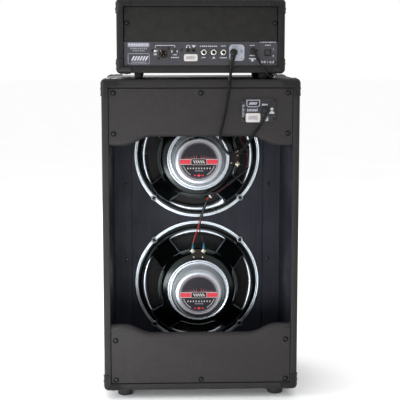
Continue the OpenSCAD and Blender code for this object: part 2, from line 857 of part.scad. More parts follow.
// Screw with a domed head in a cup washer, on a face at y
module cup_screw(y, r, depth) {
    turned_y() polygon([[0, y], [r, y], [r - 0.6, y + 1], [r * 0.62, y + 1.6], [r * 0.55, y + 1.2],
        [r * 0.3, y + 1.9], [0, y + 2]]);
    rod_y(shank_r, y - depth, y + 0.1);
}

module pan_screw(y, r, depth, stem) {
    turned_y() polygon([[0, y], [r, y], [r, y + 0.8], [r * 0.6, y + 1.6], [0, y + 1.8]]);
    rod_y(stem, y - depth, y + 0.1);
}

module screws() {
    w = head_inner - 1;
    color("#2a2a2c") {
        for (x = [-screw_x, 0, screw_x], z = [upper_screw_z[0], lower_screw_z[1]])
            at(x, z) cup_screw(back_face, 6, 24);
        for (x = [-screw_x, screw_x], z = [upper_screw_z[1], lower_screw_z[0]])
            at(x, z) cup_screw(back_face, 6, 24);
        for (x = [-w + 6, w - 6]) at(x, head_z1 - 50) cup_screw(rear_face, 4.5, head_board_t - 1);
        plate_corners() pan_screw(plate_back, 3.2, 10, 1.5);
        for (s = [-1, 1]) at(xlr_x - s * 10.2, xlr_z + s * 10.2) pan_screw(rear_face + 1.5, 2.8, 1.4, 1.6);
        for (z = [upper_z, lower_z]) at(0, z) rim_bolts() pan_screw(baffle_y1 + rim_t, 5, 14, 2.5);
        for (x = [-inner_x + 28, inner_x - 28], z = cleat_screw_z)
            at(x, z) pan_screw(baffle_y1 + cleat_t, 4, 12, 1.5);
    }
}

// ---------- leads ----------

// Right-angled quarter inch plug in a socket, its arm turned from straight down
module lead_plug(face, turn) {
    turned_y() polygon([[0, face - 20], [2, face - 20], [3, face - 17], [3.1, face + 3.2],
        [plug_r - 1, face + 3.2], [plug_r, face + 4.2], [plug_r, face + plug_h + 2],
        [plug_r - 1, face + plug_h + 3], [0, face + plug_h + 3]]);
    translate([0, face + arm_y, 0]) rotate([0, turn, 0]) translate([0, 0, -plug_arm])
        cylinder(r1 = 4, r2 = 5.4, h = plug_arm);
}

module lead_plugs() {
    color(plastic) {
        at(jack_x[3], jack_z) lead_plug(rear_face, head_plug_turn);
        at(cab_jack_x, cab_jack_z) lead_plug(plate_back, cab_plug_turn);
    }
}

module speaker_lead() {
    color("#141414") tube(smooth(speaker_lead_route, 2), lead_dia / 2, 10);
}

module dc_plug() {
    color(plastic) at(dc_x, dc_z) {
        turned_y() polygon([[0, rear_face - 8], [2.7, rear_face - 8], [2.7, rear_face + 1.6],
            [4.6, rear_face + 1.6], [5, rear_face + 2.2], [5, rear_face + 11],
            [4.2, rear_face + 12], [0, rear_face + 12]]);
        translate([0, rear_face + dc_arm_y, 0]) rotate([0, dc_plug_turn, 0])
            translate([0, 0, -dc_plug_arm]) cylinder(r1 = 2.6, r2 = 4, h = dc_plug_arm);
    }
}

module dc_lead() {
    color("#141414") {
        tube(smooth(dc_route_in, 2), dc_dia / 2, 8);
        tube(smooth(dc_route_out, 2), dc_dia / 2, 8);
    }
}

// Outer shape of the coiled part of the low voltage lead
module dc_coil() {
    color("#141414") translate([dc_coil_x, dc_coil_y, cab_z1 + 0.2]) rotate_extrude()
        translate([dc_coil_in_r, 0]) square([dc_coil_out_r - dc_coil_in_r, dc_coil_h]);
}

// Low voltage supply with its mains inlet facing the front
module supply_brick() {
    x0 = brick_x - brick_size[0] / 2;
    y1 = brick_y0 + brick_size[1];
    color("#19191a") {
        difference() {
            translate([brick_x, 0, cab_z1]) along_y(brick_y0, y1)
                rounded_rect(brick_size[0], brick_size[2], 4);
            block(x0 + 10, x0 + 34, brick_y0 - 1, brick_y0 + 14, cab_z1 + 7, cab_z1 + 23);
        }
        for (x = [-6, 0, 6]) block(brick_x + x - 1, brick_x + x + 1, brick_y0 + 4, brick_y0 + 14.5,
            cab_z1 + 13, cab_z1 + 17);
        translate([brick_x, 0, brick_tail_z]) turned_y()
            polygon([[0, y1 - 1], [5, y1 - 1], [5, y1 + 2], [3, brick_tail_y], [0, brick_tail_y]]);
    }
}

// Wires from the input plate to both speakers, as two pairs
module harness() {
    for (s = [-1, 1]) color(s < 0 ? "#8a1c1c" : "#1a1a1a")
        for (route = [plate_wire_route, link_wire_route])
            tube(smooth([for (p = route) [p[0] + s * p[3], p[1], p[2] + s * p[4]]], 2), wire_r, 8);
}

head_top();
head_bottom();
head_side(-1);  // head_side_left
head_side(1);  // head_side_right
head_back_board();
head_front_board();
rear_panel();
front_panel();
chassis_tray();
main_board();
heat_sink();
corner_protectors();
head_feet();
input_jack();
rear_jacks();
xlr_socket();
mini_jacks();
dc_inlet();
rocker_bezel();
power_rocker();
lift_switch();
sim_button();
channel_button();
knob(0);  // gain_knob
knob(1);  // drive_knob
knob(2);  // volume_knob
knob(3);  // bass_knob
knob(4);  // middle_knob
knob(5);  // treble_knob
knob(6);  // reverb_knob
control_bodies();
pilot_lamp();
cab_top();
cab_bottom();
cab_side(-1);  // cab_side_left
cab_side(1);  // cab_side_right
cab_back_upper();
cab_back_lower();
cleats();
baffle();
front_grille();
cab_feet();
input_plate();
cab_input_jack();
screws();
color(steel) at(0, upper_z) basket();  // upper_basket
color("#c8ccd2") at(0, upper_z) magnet();  // upper_magnet
color("#1c1c1d") at(0, upper_z) cone();  // upper_cone
color(steel) at(0, lower_z) basket();  // lower_basket
color("#c8ccd2") at(0, lower_z) magnet();  // lower_magnet
color("#1c1c1d") at(0, lower_z) cone();  // lower_cone
suspensions();
speaker_terminals();
harness();
speaker_lead();
lead_plugs();
dc_plug();
dc_lead();
dc_coil();
supply_brick();
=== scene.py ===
"""Half stack guitar amplifier seen from behind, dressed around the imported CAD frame.

Lengths below are millimetres in the frame's own axes (+Y is the open back, +Z is up) and are turned
into metres when a piece is made.
"""

from itertools import product
from math import atan2, cos, pi, radians, sin

import bmesh
import bpy
from mathutils import Matrix, Vector


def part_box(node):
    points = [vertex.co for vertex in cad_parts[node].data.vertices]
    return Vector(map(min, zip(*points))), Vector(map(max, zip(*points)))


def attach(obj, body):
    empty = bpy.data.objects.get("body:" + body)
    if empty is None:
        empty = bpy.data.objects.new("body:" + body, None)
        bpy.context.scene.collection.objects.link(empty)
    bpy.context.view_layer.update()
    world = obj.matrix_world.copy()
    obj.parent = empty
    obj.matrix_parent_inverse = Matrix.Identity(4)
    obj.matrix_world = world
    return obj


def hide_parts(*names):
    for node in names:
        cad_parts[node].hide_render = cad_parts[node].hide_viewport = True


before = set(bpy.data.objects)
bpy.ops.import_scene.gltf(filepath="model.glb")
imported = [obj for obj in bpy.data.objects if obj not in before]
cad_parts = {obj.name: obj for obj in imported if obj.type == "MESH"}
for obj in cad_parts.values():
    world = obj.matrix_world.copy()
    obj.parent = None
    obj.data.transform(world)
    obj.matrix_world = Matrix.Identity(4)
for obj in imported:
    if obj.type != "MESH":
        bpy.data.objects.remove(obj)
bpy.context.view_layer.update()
MM = 0.001


def box(*nodes):
    """Lowest and highest corner of some CAD nodes together, in millimetres."""
    pairs = [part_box(n) for n in nodes]
    low = Vector([min(p[0][k] for p in pairs) for k in range(3)]) / MM
    high = Vector([max(p[1][k] for p in pairs) for k in range(3)]) / MM
    return low, high


def placed(name, data):
    """A new object of the scene."""
    made = bpy.data.objects.new(name, data)
    bpy.context.scene.collection.objects.link(made)
    return made


def middle(*nodes):
    """Centre of the box round some CAD nodes, in millimetres."""
    return sum(box(*nodes), Vector()) / 2


CAB_BOARDS = ("cab_top", "cab_bottom", "cab_side_left", "cab_side_right")
HEAD_BOARDS = ("head_top", "head_bottom", "head_side_left", "head_side_right")
CAB_LO, CAB_HI = box(*CAB_BOARDS)
HEAD_LO, HEAD_HI = box(*HEAD_BOARDS)
SIDE_T = box("cab_side_right")[1].x - box("cab_side_right")[0].x
TOP_T = box("cab_top")[1].z - box("cab_top")[0].z
REAR_FACE = box("rear_panel")[1].y
PANEL_LO, PANEL_HI = box("rear_panel")
FRONT_FACE = box("front_panel")[0].y
BACK_FACE = box("cab_back_upper")[1].y
BAFFLE_BACK = box("baffle")[1].y
SPEAKERS = {key: middle(key + "_magnet") for key in ("upper", "lower")}
MAGNET_BACK = box("upper_magnet")[1].y
BASKET_BACK = box("upper_basket")[1].y
WINDOW_IN, WINDOW_OUT = 90.0, 132.0
BOLT_R = 148.5

# Places on the rear panel and the input plate that no node's box gives
JACK_X = (-6.4, -27.6, -48.8, -70.0)
JACK_Z = 769.5
CAB_JACK = (-139.2, 647.3)
KNOBS = ("gain", "drive", "volume", "bass", "middle", "treble", "reverb")


# ---------- materials ----------


class Surface:
    """A node material: patterns in the object's own space drive colour, roughness and relief."""

    def __init__(self, name, rough, metal=0.0, coat=0.0, sheen=0.0, specular=0.5):
        self.mat = bpy.data.materials.new(name)
        self.mat.use_nodes = True
        self.nodes = self.mat.node_tree.nodes
        self.shader = self.nodes["Principled BSDF"]
        self.rough = rough
        self.feed(self.shader, {
            "Roughness": rough, "Metallic": metal, "Coat Weight": coat, "Coat Roughness": 0.12,
            "Sheen Weight": sheen, "Sheen Roughness": 0.45, "Specular IOR Level": specular})
        self.place = self.node("TexCoord", "Object", {})

    def feed(self, node, values):
        """Sets a node's inputs, or links them where a value is another node's output."""
        for name, value in values.items():
            if isinstance(value, bpy.types.NodeSocket):
                self.mat.node_tree.links.new(value, node.inputs[name])
            else:
                node.inputs[name].default_value = value

    def node(self, kind, output, values, **settings):
        """Adds a node and returns one of its outputs."""
        made = self.nodes.new("ShaderNode" + kind)
        for key, value in settings.items():
            setattr(made, key, value)
        self.feed(made, values)
        return made.outputs[output]

    def noise(self, scale, detail=3.0, stretch=(1, 1, 1)):
        place = self.node("Mapping", "Vector", {"Vector": self.place, "Scale": stretch})
        return self.node("TexNoise", "Fac", {"Vector": place, "Scale": scale, "Detail": detail})

    def pebbles(self, scale):
        return self.node("TexVoronoi", "Distance", {"Vector": self.place, "Scale": scale})

    def bands(self, scale, axis="X", distortion=0.0):
        values = {"Vector": self.place, "Scale": scale, "Distortion": distortion}
        return self.node("TexWave", "Fac", values, bands_direction=axis)

    def edge_wear_and_highlight(self):
        """High where the surface turns a sharp outer edge."""
        return self.span(self.node("NewGeometry", "Pointiness", {}), 0.52, 0.62)

    def maths(self, what, a, b):
        return self.node("Math", 0, {0: a, 1: b}, operation=what)

    def span(self, value, low, high, to_low=0.0, to_high=1.0):
        """Stretches low to high of a value to a new range."""
        return self.node("MapRange", "Result", {
            "Value": value, "From Min": low, "From Max": high, "To Min": to_low, "To Max": to_high})

    def mix(self, factor, a, b):
        """Mixes two colours, which sit in a colour mix's sockets 6 and 7."""
        a, b = ((*c, 1) if isinstance(c, tuple) else c for c in (a, b))
        return self.node("Mix", 2, {"Factor": factor, 6: a, 7: b}, data_type="RGBA")

    def colour(self, value):
        self.feed(self.shader, {"Base Color": value})

    def tint(self, pattern, low, high, colour, change):
        """Runs the colour from a darker to a lighter tone while a pattern goes from low to high."""
        self.colour(self.mix(self.span(pattern, low, high), *tones(colour, change)))

    def roughness(self, pattern, spread):
        low, high = max(0.02, self.rough - spread), min(1.0, self.rough + spread)
        self.feed(self.shader, {"Roughness": self.span(pattern, 0.3, 0.7, low, high)})

    def relief(self, height, depth_mm, strength=0.6):
        values = {"Strength": strength, "Distance": depth_mm * MM, "Height": height}
        self.feed(self.shader, {"Normal": self.node("Bump", "Normal", values)})


def tones(colour, change):
    """A darker and a lighter tone of a colour."""
    return tuple(c * (1 - change) for c in colour), tuple(min(1, c * (1 + change)) for c in colour)


def vinyl(name, colour, rough=0.58):
    """Covering cloth with a fine pebbled grain, darker in the grain's valleys, and lighter sharp edges that
    are partly rubbed wear and partly a painted highlight.
    """
    s = Surface(name, rough, specular=0.16)
    grain = s.maths("ADD", s.pebbles(520), s.maths("MULTIPLY", s.noise(1100, 2), 0.7))
    cloud = s.noise(9, 3)
    low, high = tones(colour, 0.42)
    base = s.mix(s.span(s.maths("ADD", s.maths("MULTIPLY", cloud, 0.4), grain), 0.5, 1.1), low, high)
    # Sharp edges are lightened: partly rubbed wear, partly a painted highlight where light catches their
    # rounding.
    rubbed_and_lit_edge = tuple(c * 1.7 + 0.01 for c in colour)
    s.colour(s.mix(s.maths("MULTIPLY", s.edge_wear_and_highlight(), s.span(s.noise(60, 3), 0.35, 0.7)), base, rubbed_and_lit_edge))
    s.roughness(cloud, 0.07)
    s.relief(grain, 0.35, 0.7)
    return s.mat


def plastic(name, colour, rough=0.42, grain=900.0, depth=0.05, coat=0.0, specular=0.35):
    """Moulded plastic, rubber or paint with a fine grain and broad, faint smudges."""
    s = Surface(name, rough, coat=coat, specular=specular)
    fine, broad = s.noise(grain, 2), s.noise(35, 4)
    s.tint(broad, 0.3, 0.7, colour, 0.15)
    s.roughness(broad, 0.06)
    s.relief(fine, depth, 0.35)
    return s.mat


def metal(name, colour, rough=0.3, stretch=(1, 1, 1), depth=0.02, metallic=1.0, coat=0.0):
    """Plated or painted metal with faint brushing or orange peel and a little smudging."""
    s = Surface(name, rough, metal=metallic, coat=coat)
    lines, smudge = s.noise(500, 3, stretch), s.noise(28, 4)
    mixed = s.maths("ADD", s.maths("MULTIPLY", lines, 0.5), s.maths("MULTIPLY", smudge, 0.5))
    s.tint(mixed, 0.35, 0.65, colour, 0.1)
    s.roughness(smudge, 0.07)
    s.relief(lines, depth, 0.3)
    return s.mat


def wood(name, colour):
    """Plywood sprayed black, its grain just showing."""
    s = Surface(name, 0.55, specular=0.22)
    fibre = s.noise(160, 5, (1, 1, 0.06))
    s.tint(fibre, 0.3, 0.7, colour, 0.25)
    s.roughness(s.noise(20, 3), 0.08)
    s.relief(fibre, 0.12, 0.5)
    return s.mat


def cloth(name, colour, scale=420.0):
    """Woven grille cloth: two crossing sets of threads."""
    s = Surface(name, 0.8, sheen=0.25)
    weave = s.maths("MULTIPLY", s.bands(scale, "X"), s.bands(scale, "Z"))
    s.colour(s.mix(s.maths("ADD", weave, s.maths("MULTIPLY", s.noise(14, 3), 0.3)), *tones(colour, 0.5)))
    s.relief(weave, 0.35, 0.9)
    return s.mat


def paper(name, colour):
    """Pressed pulp with loose fibres."""
    s = Surface(name, 0.78, specular=0.3)
    fibre = s.noise(700, 5)
    s.tint(fibre, 0.35, 0.65, colour, 0.3)
    s.relief(fibre, 0.15, 0.6)
    return s.mat


def circuit(name):
    """Green solder mask over straight copper tracks."""
    s = Surface(name, 0.3, coat=0.4)
    tracks = s.maths("MULTIPLY", s.bands(90, "X", 1.5), s.bands(60, "Y", 1.0))
    s.colour(s.mix(s.span(tracks, 0.35, 0.5), (0.015, 0.09, 0.04), (0.03, 0.17, 0.07)))
    s.relief(tracks, 0.05, 0.4)
    return s.mat


def ink(name, colour, rough=0.5, specular=0.5):
    """Printed ink or label film, slightly uneven."""
    s = Surface(name, rough, specular=specular)
    s.tint(s.noise(260, 4), 0.3, 0.7, colour, 0.08)
    s.roughness(s.noise(90, 2), 0.05)
    return s.mat


SKIN = vinyl("shell_vinyl", (0.014, 0.0129, 0.0126), 0.6)
HEAD_SKIN = vinyl("head_vinyl", (0.0095, 0.0088, 0.0087), 0.6)
BOARD = vinyl("board_vinyl", (0.0172, 0.0157, 0.0162), 0.58)
HEAD_BOARD = vinyl("head_board_vinyl", (0.0086, 0.0081, 0.0075), 0.62)
INNER_PAINT = plastic("inner_paint", (0.0075, 0.0085, 0.0125), 0.36, 60, 0.01)
MOULDED = plastic("moulded_black", (0.008, 0.008, 0.0075), 0.42, 1100, 0.04, specular=0.2)
RUBBER = plastic("black_rubber", (0.012, 0.012, 0.012), 0.62, 700, 0.08)
JACKET = plastic("lead_jacket", (0.004, 0.004, 0.0045), 0.22, 500, 0.03, specular=0.14)
GLOSS = plastic("gloss_black", (0.01, 0.01, 0.011), 0.16, 300, 0.01, 0.5)
WHITE_PLASTIC = plastic("white_plastic", (0.72, 0.72, 0.7), 0.3, 400, 0.02)
PANEL = metal("panel_paint", (0.0215, 0.0205, 0.027), 0.5, metallic=0.0, depth=0.05)
PLATE = plastic("plate_paint", (0.0125, 0.0125, 0.0155), 0.42, 800, 0.05)
TRAY_PAINT = metal("tray_paint", (0.03, 0.03, 0.033), 0.45, metallic=0.3, depth=0.05)
ZINC = metal("zinc_sheet", (0.55, 0.56, 0.57), 0.34, (1, 8, 1))
NICKEL = metal("nickel", (0.78, 0.76, 0.72), 0.2, (6, 6, 1))
BRASS = metal("brass_tags", (0.32, 0.3, 0.25), 0.3, depth=0.005)
ALUMINIUM = metal("bare_aluminium", (0.62, 0.63, 0.65), 0.38, (1, 10, 1))
BLACK_STEEL = metal("blackened_steel", (0.022, 0.022, 0.023), 0.26, metallic=0.75, depth=0.03)
CUP = plastic("cup_enamel", (0.0035, 0.0035, 0.0035), 0.2, 500, 0.01, specular=0.1)
BASKET = metal("basket_paint", (0.009, 0.013, 0.0125), 0.22, metallic=0.8, depth=0.03, coat=0.25)
# Bright colour for the basket's rim, bolt rings and window lips: a painted highlight where the dark painted
# basket catches the light.
BASKET_PAINTED_HIGHLIGHT = metal("basket_painted_highlight", (0.6, 0.65, 0.7), 0.32, depth=0.004)
COVER = metal("magnet_cover", (0.46, 0.5, 0.55), 0.27, (3, 1, 3), depth=0.004)
# Darker and lighter copies of the cover's plating: painted shade and painted highlight on the magnet cover.
COVER_PAINTED_SHADE = metal("shaded_cover", (0.37, 0.4, 0.44), 0.32, depth=0.004)
COVER_PAINTED_LIGHT = metal("cover_painted_light", (0.6, 0.64, 0.67), 0.42, metallic=0.3, depth=0.004)
BRONZE = metal("bronzed_ring", (0.15, 0.095, 0.075), 0.3)
BLACK_WOOD = wood("black_plywood", (0.0175, 0.019, 0.0285))
GRILLE = cloth("grille_weave", (0.025, 0.025, 0.0275))
CONE = paper("cone_paper", (0.02, 0.02, 0.021))
DOPED = paper("doped_cloth", (0.03, 0.026, 0.02))
FIBRE = paper("tag_fibre", (0.018, 0.013, 0.011))
CIRCUIT = circuit("solder_mask")
WHITE_INK = ink("white_print", (0.4, 0.4, 0.44))
GREY_INK = ink("grey_print", (0.19, 0.19, 0.22))
PALE_INK = ink("pale_print", (0.3, 0.31, 0.36))
LABEL = ink("paper_label", (0.47, 0.445, 0.43), specular=0.3)
LABEL_DARK = ink("label_dark", (0.017, 0.015, 0.02), 0.45, 0.15)
LABEL_RED = ink("label_red", (0.62, 0.035, 0.06), 0.4, 0.25)
LABEL_GREY = ink("label_grey", (0.2, 0.19, 0.225), 0.4, 0.3)
# A darker copy of the red insulation: painted shade on the red wire's upper run.
RED_WIRE_PAINTED_SHADE = plastic("red_insulation_painted_shade", (0.06, 0.006, 0.006), 0.4, 300, 0.02)
RED_WIRE = plastic("red_insulation", (0.4, 0.014, 0.012), 0.36, 300, 0.02)
BLACK_WIRE = plastic("black_insulation", (0.008, 0.008, 0.008), 0.36, 300, 0.02)
BLUE = plastic("blue_crimp", (0.015, 0.12, 0.17), 0.3, 200, 0.02)
LENS = plastic("red_lens", (0.5, 0.02, 0.015), 0.12, 200, 0.01, 0.8)


# ---------- mesh building ----------


class Shape:
    """Points and faces in millimetres, each face with a material number."""

    def __init__(self):
        self.points = []
        self.faces = []
        self.marks = []

    def add(self, points, faces, mark=0, turn=None):
        start = len(self.points)
        self.points += [tuple(turn @ Vector(p)) if turn else tuple(p) for p in points]
        self.faces += [[start + i for i in f] for f in faces]
        self.marks += [mark] * len(faces)
        return self

    def rows(self, rows, mark=0, turn=None, around=False, ring=False):
        """Quads between rows of points; around joins a row's ends, ring the last row to the first."""
        n = len(rows[0])
        across = range(n if around else n - 1)
        pairs = [(i, (i + 1) % len(rows)) for i in range(len(rows) if ring else len(rows) - 1)]
        faces = [(a * n + k, a * n + (k + 1) % n, b * n + (k + 1) % n, b * n + k)
                 for a, b in pairs for k in across]
        return self.add([p for row in rows for p in row], faces, mark, turn)

    def cap(self, row, mark=0):
        """Closes a row of points with one face."""
        return self.add(row, [range(len(row))], mark)

    def lathe(self, profile, centre=(0, 0), steps=48, mark=0, turn=None, y=0.0, side=1):
        """Turns (radius, depth) points about the line along Y through (x, z), depths measured from y."""
        rows = [[(p, y + side * depth, q) for p, q in arc(*centre, r, 0, 360, steps)[:-1]]
                for r, depth in profile]
        return self.rows(rows, mark, turn, around=True)

    def bands(self, bands, centre, steps, y, side=1):
        """Turns several (mark, profile) bands of different materials, one after the other."""
        for mark, profile in bands:
            self.lathe(profile, centre, steps, mark, y=y, side=side)
        return self

    def upright(self, profile, centre, steps=48, mark=0):
        """Turns (radius, z) points about the vertical line through (x, y)."""
        rows = [[(p, q, z) for p, q in arc(*centre, r, 0, 360, steps)[:-1]] for r, z in profile]
        return self.rows(rows, mark, around=True)

    def prism(self, outline, y0, y1, mark=0, turn=None):
        """An outline of (x, z) points given thickness along Y."""
        n = len(outline)
        points = [(x, y, z) for y in (y0, y1) for x, z in outline]
        sides = [(k, (k + 1) % n, n + (k + 1) % n, n + k) for k in range(n)]
        return self.add(points, [*sides, range(n), range(2 * n - 1, n - 1, -1)], mark, turn)

    def block(self, low, high, soft=0.0, mark=0, turn=None):
        """A box whose edges are rounded by soft."""
        bm = bmesh.new()
        bmesh.ops.create_cube(bm, size=1)
        size = Vector(high) - Vector(low)
        for v in bm.verts:
            v.co = Vector(low) + Vector([(v.co[k] + 0.5) * size[k] for k in range(3)])
        if soft:
            bmesh.ops.bevel(bm, geom=bm.edges[:], offset=soft, segments=3, profile=0.5, affect="EDGES")
        self.take(bm, mark, turn)
        return self

    def take(self, bm, mark=0, turn=None):
        """Adds what a bmesh holds and frees it."""
        bm.verts.index_update()
        self.add([v.co for v in bm.verts], [[v.index for v in f.verts] for f in bm.faces], mark, turn)
        bm.free()
        return self

    def tube(self, path, radius, steps=12, mark=0):
        """A round tube with flat ends along a path; radius is a number or one for each point."""
        path = [Vector(p) for p in path]
        radii = radius if isinstance(radius, (list, tuple)) else [radius] * len(path)
        side, rows = None, []
        for i, p in enumerate(path):
            along = (path[min(i + 1, len(path) - 1)] - path[max(i - 1, 0)]).normalized()
            side = side or along.orthogonal()
            side = (side - along * side.dot(along)).normalized()
            up = along.cross(side)
            rows.append([p + u * side + v * up for u, v in arc(0, 0, radii[i], 0, 360, steps)[:-1]])
        return self.rows(rows, mark, around=True).cap(rows[0], mark).cap(rows[-1][::-1], mark)

    def copy_in(self, other, turn):
        start = len(self.faces)
        self.add(other.points, other.faces, 0, turn)
        self.marks[start:] = other.marks
        return self


class Print(Shape):
    """Thin plain marks on a face at depth y; soft is a bar's corner radius over its narrower side."""

    def __init__(self, y, thick=0.12, soft=0.2):
        super().__init__()
        self.y, self.thick, self.soft = y, thick, soft

    def patch(self, outline, mark=0, thick=None, level=0.0):
        """A flat patch of (x, z) points, level above the face."""
        base = self.y + level
        return self.prism(outline, base, base + (self.thick if thick is None else thick), mark)

    def bar(self, x0, x1, z0, z1, mark=0, thick=None, level=0.0):
        """A bar with softened corners."""
        x0, x1 = sorted((x0, x1))
        return self.patch(rounded(x0, x1, z0, z1, min(x1 - x0, z1 - z0) * self.soft, 2), mark, thick, level)

    def slanted(self, left, wide, lean, z0, z1, mark=0, thick=None):
        """A block that leans sideways by lean between its foot and its top."""
        right = left + wide
        return self.patch([(left, z0), (right, z0), (right + lean, z1), (left + lean, z1)], mark, thick)

    def dashes(self, x0, x1, z, height, count, mark=0):
        """A row of short plain dashes where the object has small print."""
        step = (x1 - x0) / count
        for k in range(count):
            wide = step * (0.72 if k % 3 else 0.55)
            self.bar(x0 + step * k, x0 + step * k + wide, z, z + height, mark, level=0.06)


def welded(shape, reach):
    """A shape as a bmesh, its points within reach joined and its faces turned outwards."""
    bm = bmesh.new()
    points = [bm.verts.new(p) for p in shape.points]
    for face in shape.faces:
        bm.faces.new([points[i] for i in face])
    bmesh.ops.remove_doubles(bm, verts=bm.verts, dist=reach)
    bmesh.ops.recalc_face_normals(bm, faces=bm.faces)
    return bm


def piece(name, shape, materials, body="root", replaces=(), sharp=35, modifiers=()):
    """Makes a shape into an object that rides on a body, smooth except at edges over sharp degrees."""
    mesh = bpy.data.meshes.new(name)
    mesh.from_pydata([tuple(c * MM for c in p) for p in shape.points], [], shape.faces)
    mesh.polygons.foreach_set("material_index", shape.marks)
    bm = bmesh.new()
    bm.from_mesh(mesh)
    bmesh.ops.remove_doubles(bm, verts=bm.verts, dist=2e-6)
    bmesh.ops.dissolve_degenerate(bm, edges=bm.edges, dist=1e-6)
    bmesh.ops.recalc_face_normals(bm, faces=bm.faces)
    for edge in bm.edges:
        edge.smooth = len(edge.link_faces) == 2 and edge.calc_face_angle(0) < radians(sharp)
    for face in bm.faces:
        face.smooth = True
    bm.to_mesh(mesh)
    bm.free()
    made = placed(name, mesh)
    for material in materials if isinstance(materials, (list, tuple)) else [materials]:
        mesh.materials.append(material)
    for kind, settings in modifiers:
        modifier = made.modifiers.new(kind.lower(), kind)
        for key, value in settings.items():
            setattr(modifier, key, value)
    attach(made, body)
    if replaces:
        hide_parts(*replaces)
    return made


def arc(x, z, radius, start, end, steps):
    """Points of an arc, its angles in degrees from +X towards +Z."""
    angles = [radians(start + (end - start) * i / steps) for i in range(steps + 1)]
    return [(x + radius * cos(a), z + radius * sin(a)) for a in angles]


def rounded(x0, x1, z0, z1, radius, steps=5):
    """Outline of a rectangle with round corners."""
    corners = ((x1, z1, -1, -1, 0), (x0, z1, 1, -1, 90), (x0, z0, 1, 1, 180), (x1, z0, -1, 1, 270))
    return [p for x, z, sx, sz, a in corners
            for p in arc(x + sx * radius, z + sz * radius, radius, a, a + 90, steps)]


def rounded_row(low, high, inset, y, radius, steps=5):
    """A row of points at depth y: the box from low to high drawn in by inset, with round corners."""
    outline = rounded(low.x + inset, high.x - inset, low.z + inset, high.z - inset, radius, steps)
    return [(x, y, z) for x, z in outline]


def smooth_path(points, steps):
    """Points of a smooth curve through a route's points."""
    points = [Vector(p) for p in points]
    last = len(points) - 1
    found = []
    for i in range(last):
        p, a, b, c = (points[j] for j in (max(i - 1, 0), i, i + 1, min(i + 2, last)))
        for k in range(steps):
            t = k / steps
            found.append(0.5 * (2 * a + (b - p) * t + (2 * p - 5 * a + 4 * b - c) * t * t
                                + (3 * a - p - 3 * b + c) * t ** 3))
    return found + [points[last]]


# ---------- camera, floor and light ----------


def camera():
    """Behind the amplifier, a little to its left and about level with the top of the cabinet."""
    data = bpy.data.cameras.new("camera")
    data.lens = 93.75
    data.sensor_width = 36
    data.shift_y = -0.05
    eye = placed("camera", data)
    eye.location = (0.0814, 2.4, 0.79)
    aim = Vector((0.0021, 0.15, 0.4932)) - eye.location
    eye.rotation_euler = aim.to_track_quat("-Z", "Y").to_euler()
    bpy.context.scene.camera = eye


def area_light(name, place, target, size, power, colour=(1, 1, 1)):
    """A rectangular lamp that faces a target."""
    data = bpy.data.lights.new(name, "AREA")
    data.shape = "RECTANGLE"
    data.size, data.size_y = size
    data.energy = power
    data.color = colour
    lamp = placed(name, data)
    lamp.location = place
    lamp.rotation_euler = (Vector(target) - Vector(place)).to_track_quat("-Z", "Y").to_euler()


def studio():
    """Pale floor, white surroundings and soft boxes behind and beside the object."""
    mesh = bpy.data.meshes.new("floor")
    half = 20.0
    mesh.from_pydata([(-half, -half, 0), (half, -half, 0), (half, half, 0), (-half, half, 0)], [],
                     [(0, 1, 2, 3)])
    s = Surface("floor_paint", 0.75)
    s.colour(s.mix(s.span(s.noise(3, 3), 0.3, 0.7), (0.965, 0.965, 0.965), (0.985, 0.985, 0.985)))
    mesh.materials.append(s.mat)
    floor = placed("floor", mesh)
    world = bpy.data.worlds.new("studio")
    world.use_nodes = True
    background = world.node_tree.nodes["Background"].inputs
    background["Color"].default_value = (1, 1, 1, 1)
    background["Strength"].default_value = 1.0
    bpy.context.scene.world = world
    bpy.context.scene.view_settings.view_transform = "Standard"
    area_light("key", (0.45, 0.95, 0.13), (0, 0.15, 0.09), (1.0, 0.2), 8, (0.96, 0.98, 1.0))
    area_light("rim", (2.2, 0.9, 1.0), (0, 0, 0.5), (0.6, 1.6), 26, (0.9, 0.95, 1.0))
    area_light("top", (0.1, 0.3, 2.4), (0, 0, 0.6), (1.6, 1.0), 7, (1.0, 0.97, 0.92))
    area_light("front", (0.8, -2.2, 1.4), (0, 0, 0.5), (1.8, 1.6), 26)


camera()
studio()


# ---------- leads ----------

SPEAKER_LEAD = [
    (-65, 156, 738), (-63.5, 156.5, 725), (-62, 157.5, 711), (-59.5, 159, 690), (-56.5, 160, 670),
    (-53.5, 161, 650), (-49, 162, 630), (-44.5, 162, 610), (-41, 162, 596), (-41.5, 161.5, 583),
    (-45.5, 161, 571), (-53, 160.5, 558), (-64, 160, 550.5), (-77, 160, 551.5), (-91, 160.5, 562),
    (-102, 161, 576), (-111, 161.5, 590), (-119.5, 162, 602), (-129.3, 162.5, 617),
]
DC_ROUTE_IN = [
    (-120.5, 153, 759), (-124, 153.5, 753), (-128, 154, 746), (-134, 154, 736), (-139, 153.5, 728.5),
    (-144.5, 152, 721.5), (-151, 147, 716.5), (-156.5, 137, 714.4), (-160, 122, 714.2),
    (-163, 104, 714.2), (-165.5, 84, 714.2), (-166.8, 64, 714.2), (-167, 52, 714.2),
]
DC_ROUTE_OUT = [
    (-167, 38, 722.2), (-166.6, 26, 721.5), (-165, 10, 719), (-162.3, -7, 717.6), (-159.4, -22, 717.6),
    (-157.3, -34, 719), (-156.2, -44, 720.5), (-156, -54, 721),
]
DC_DIAMETER = 4.0
LEAD_DIAMETER = 6.5


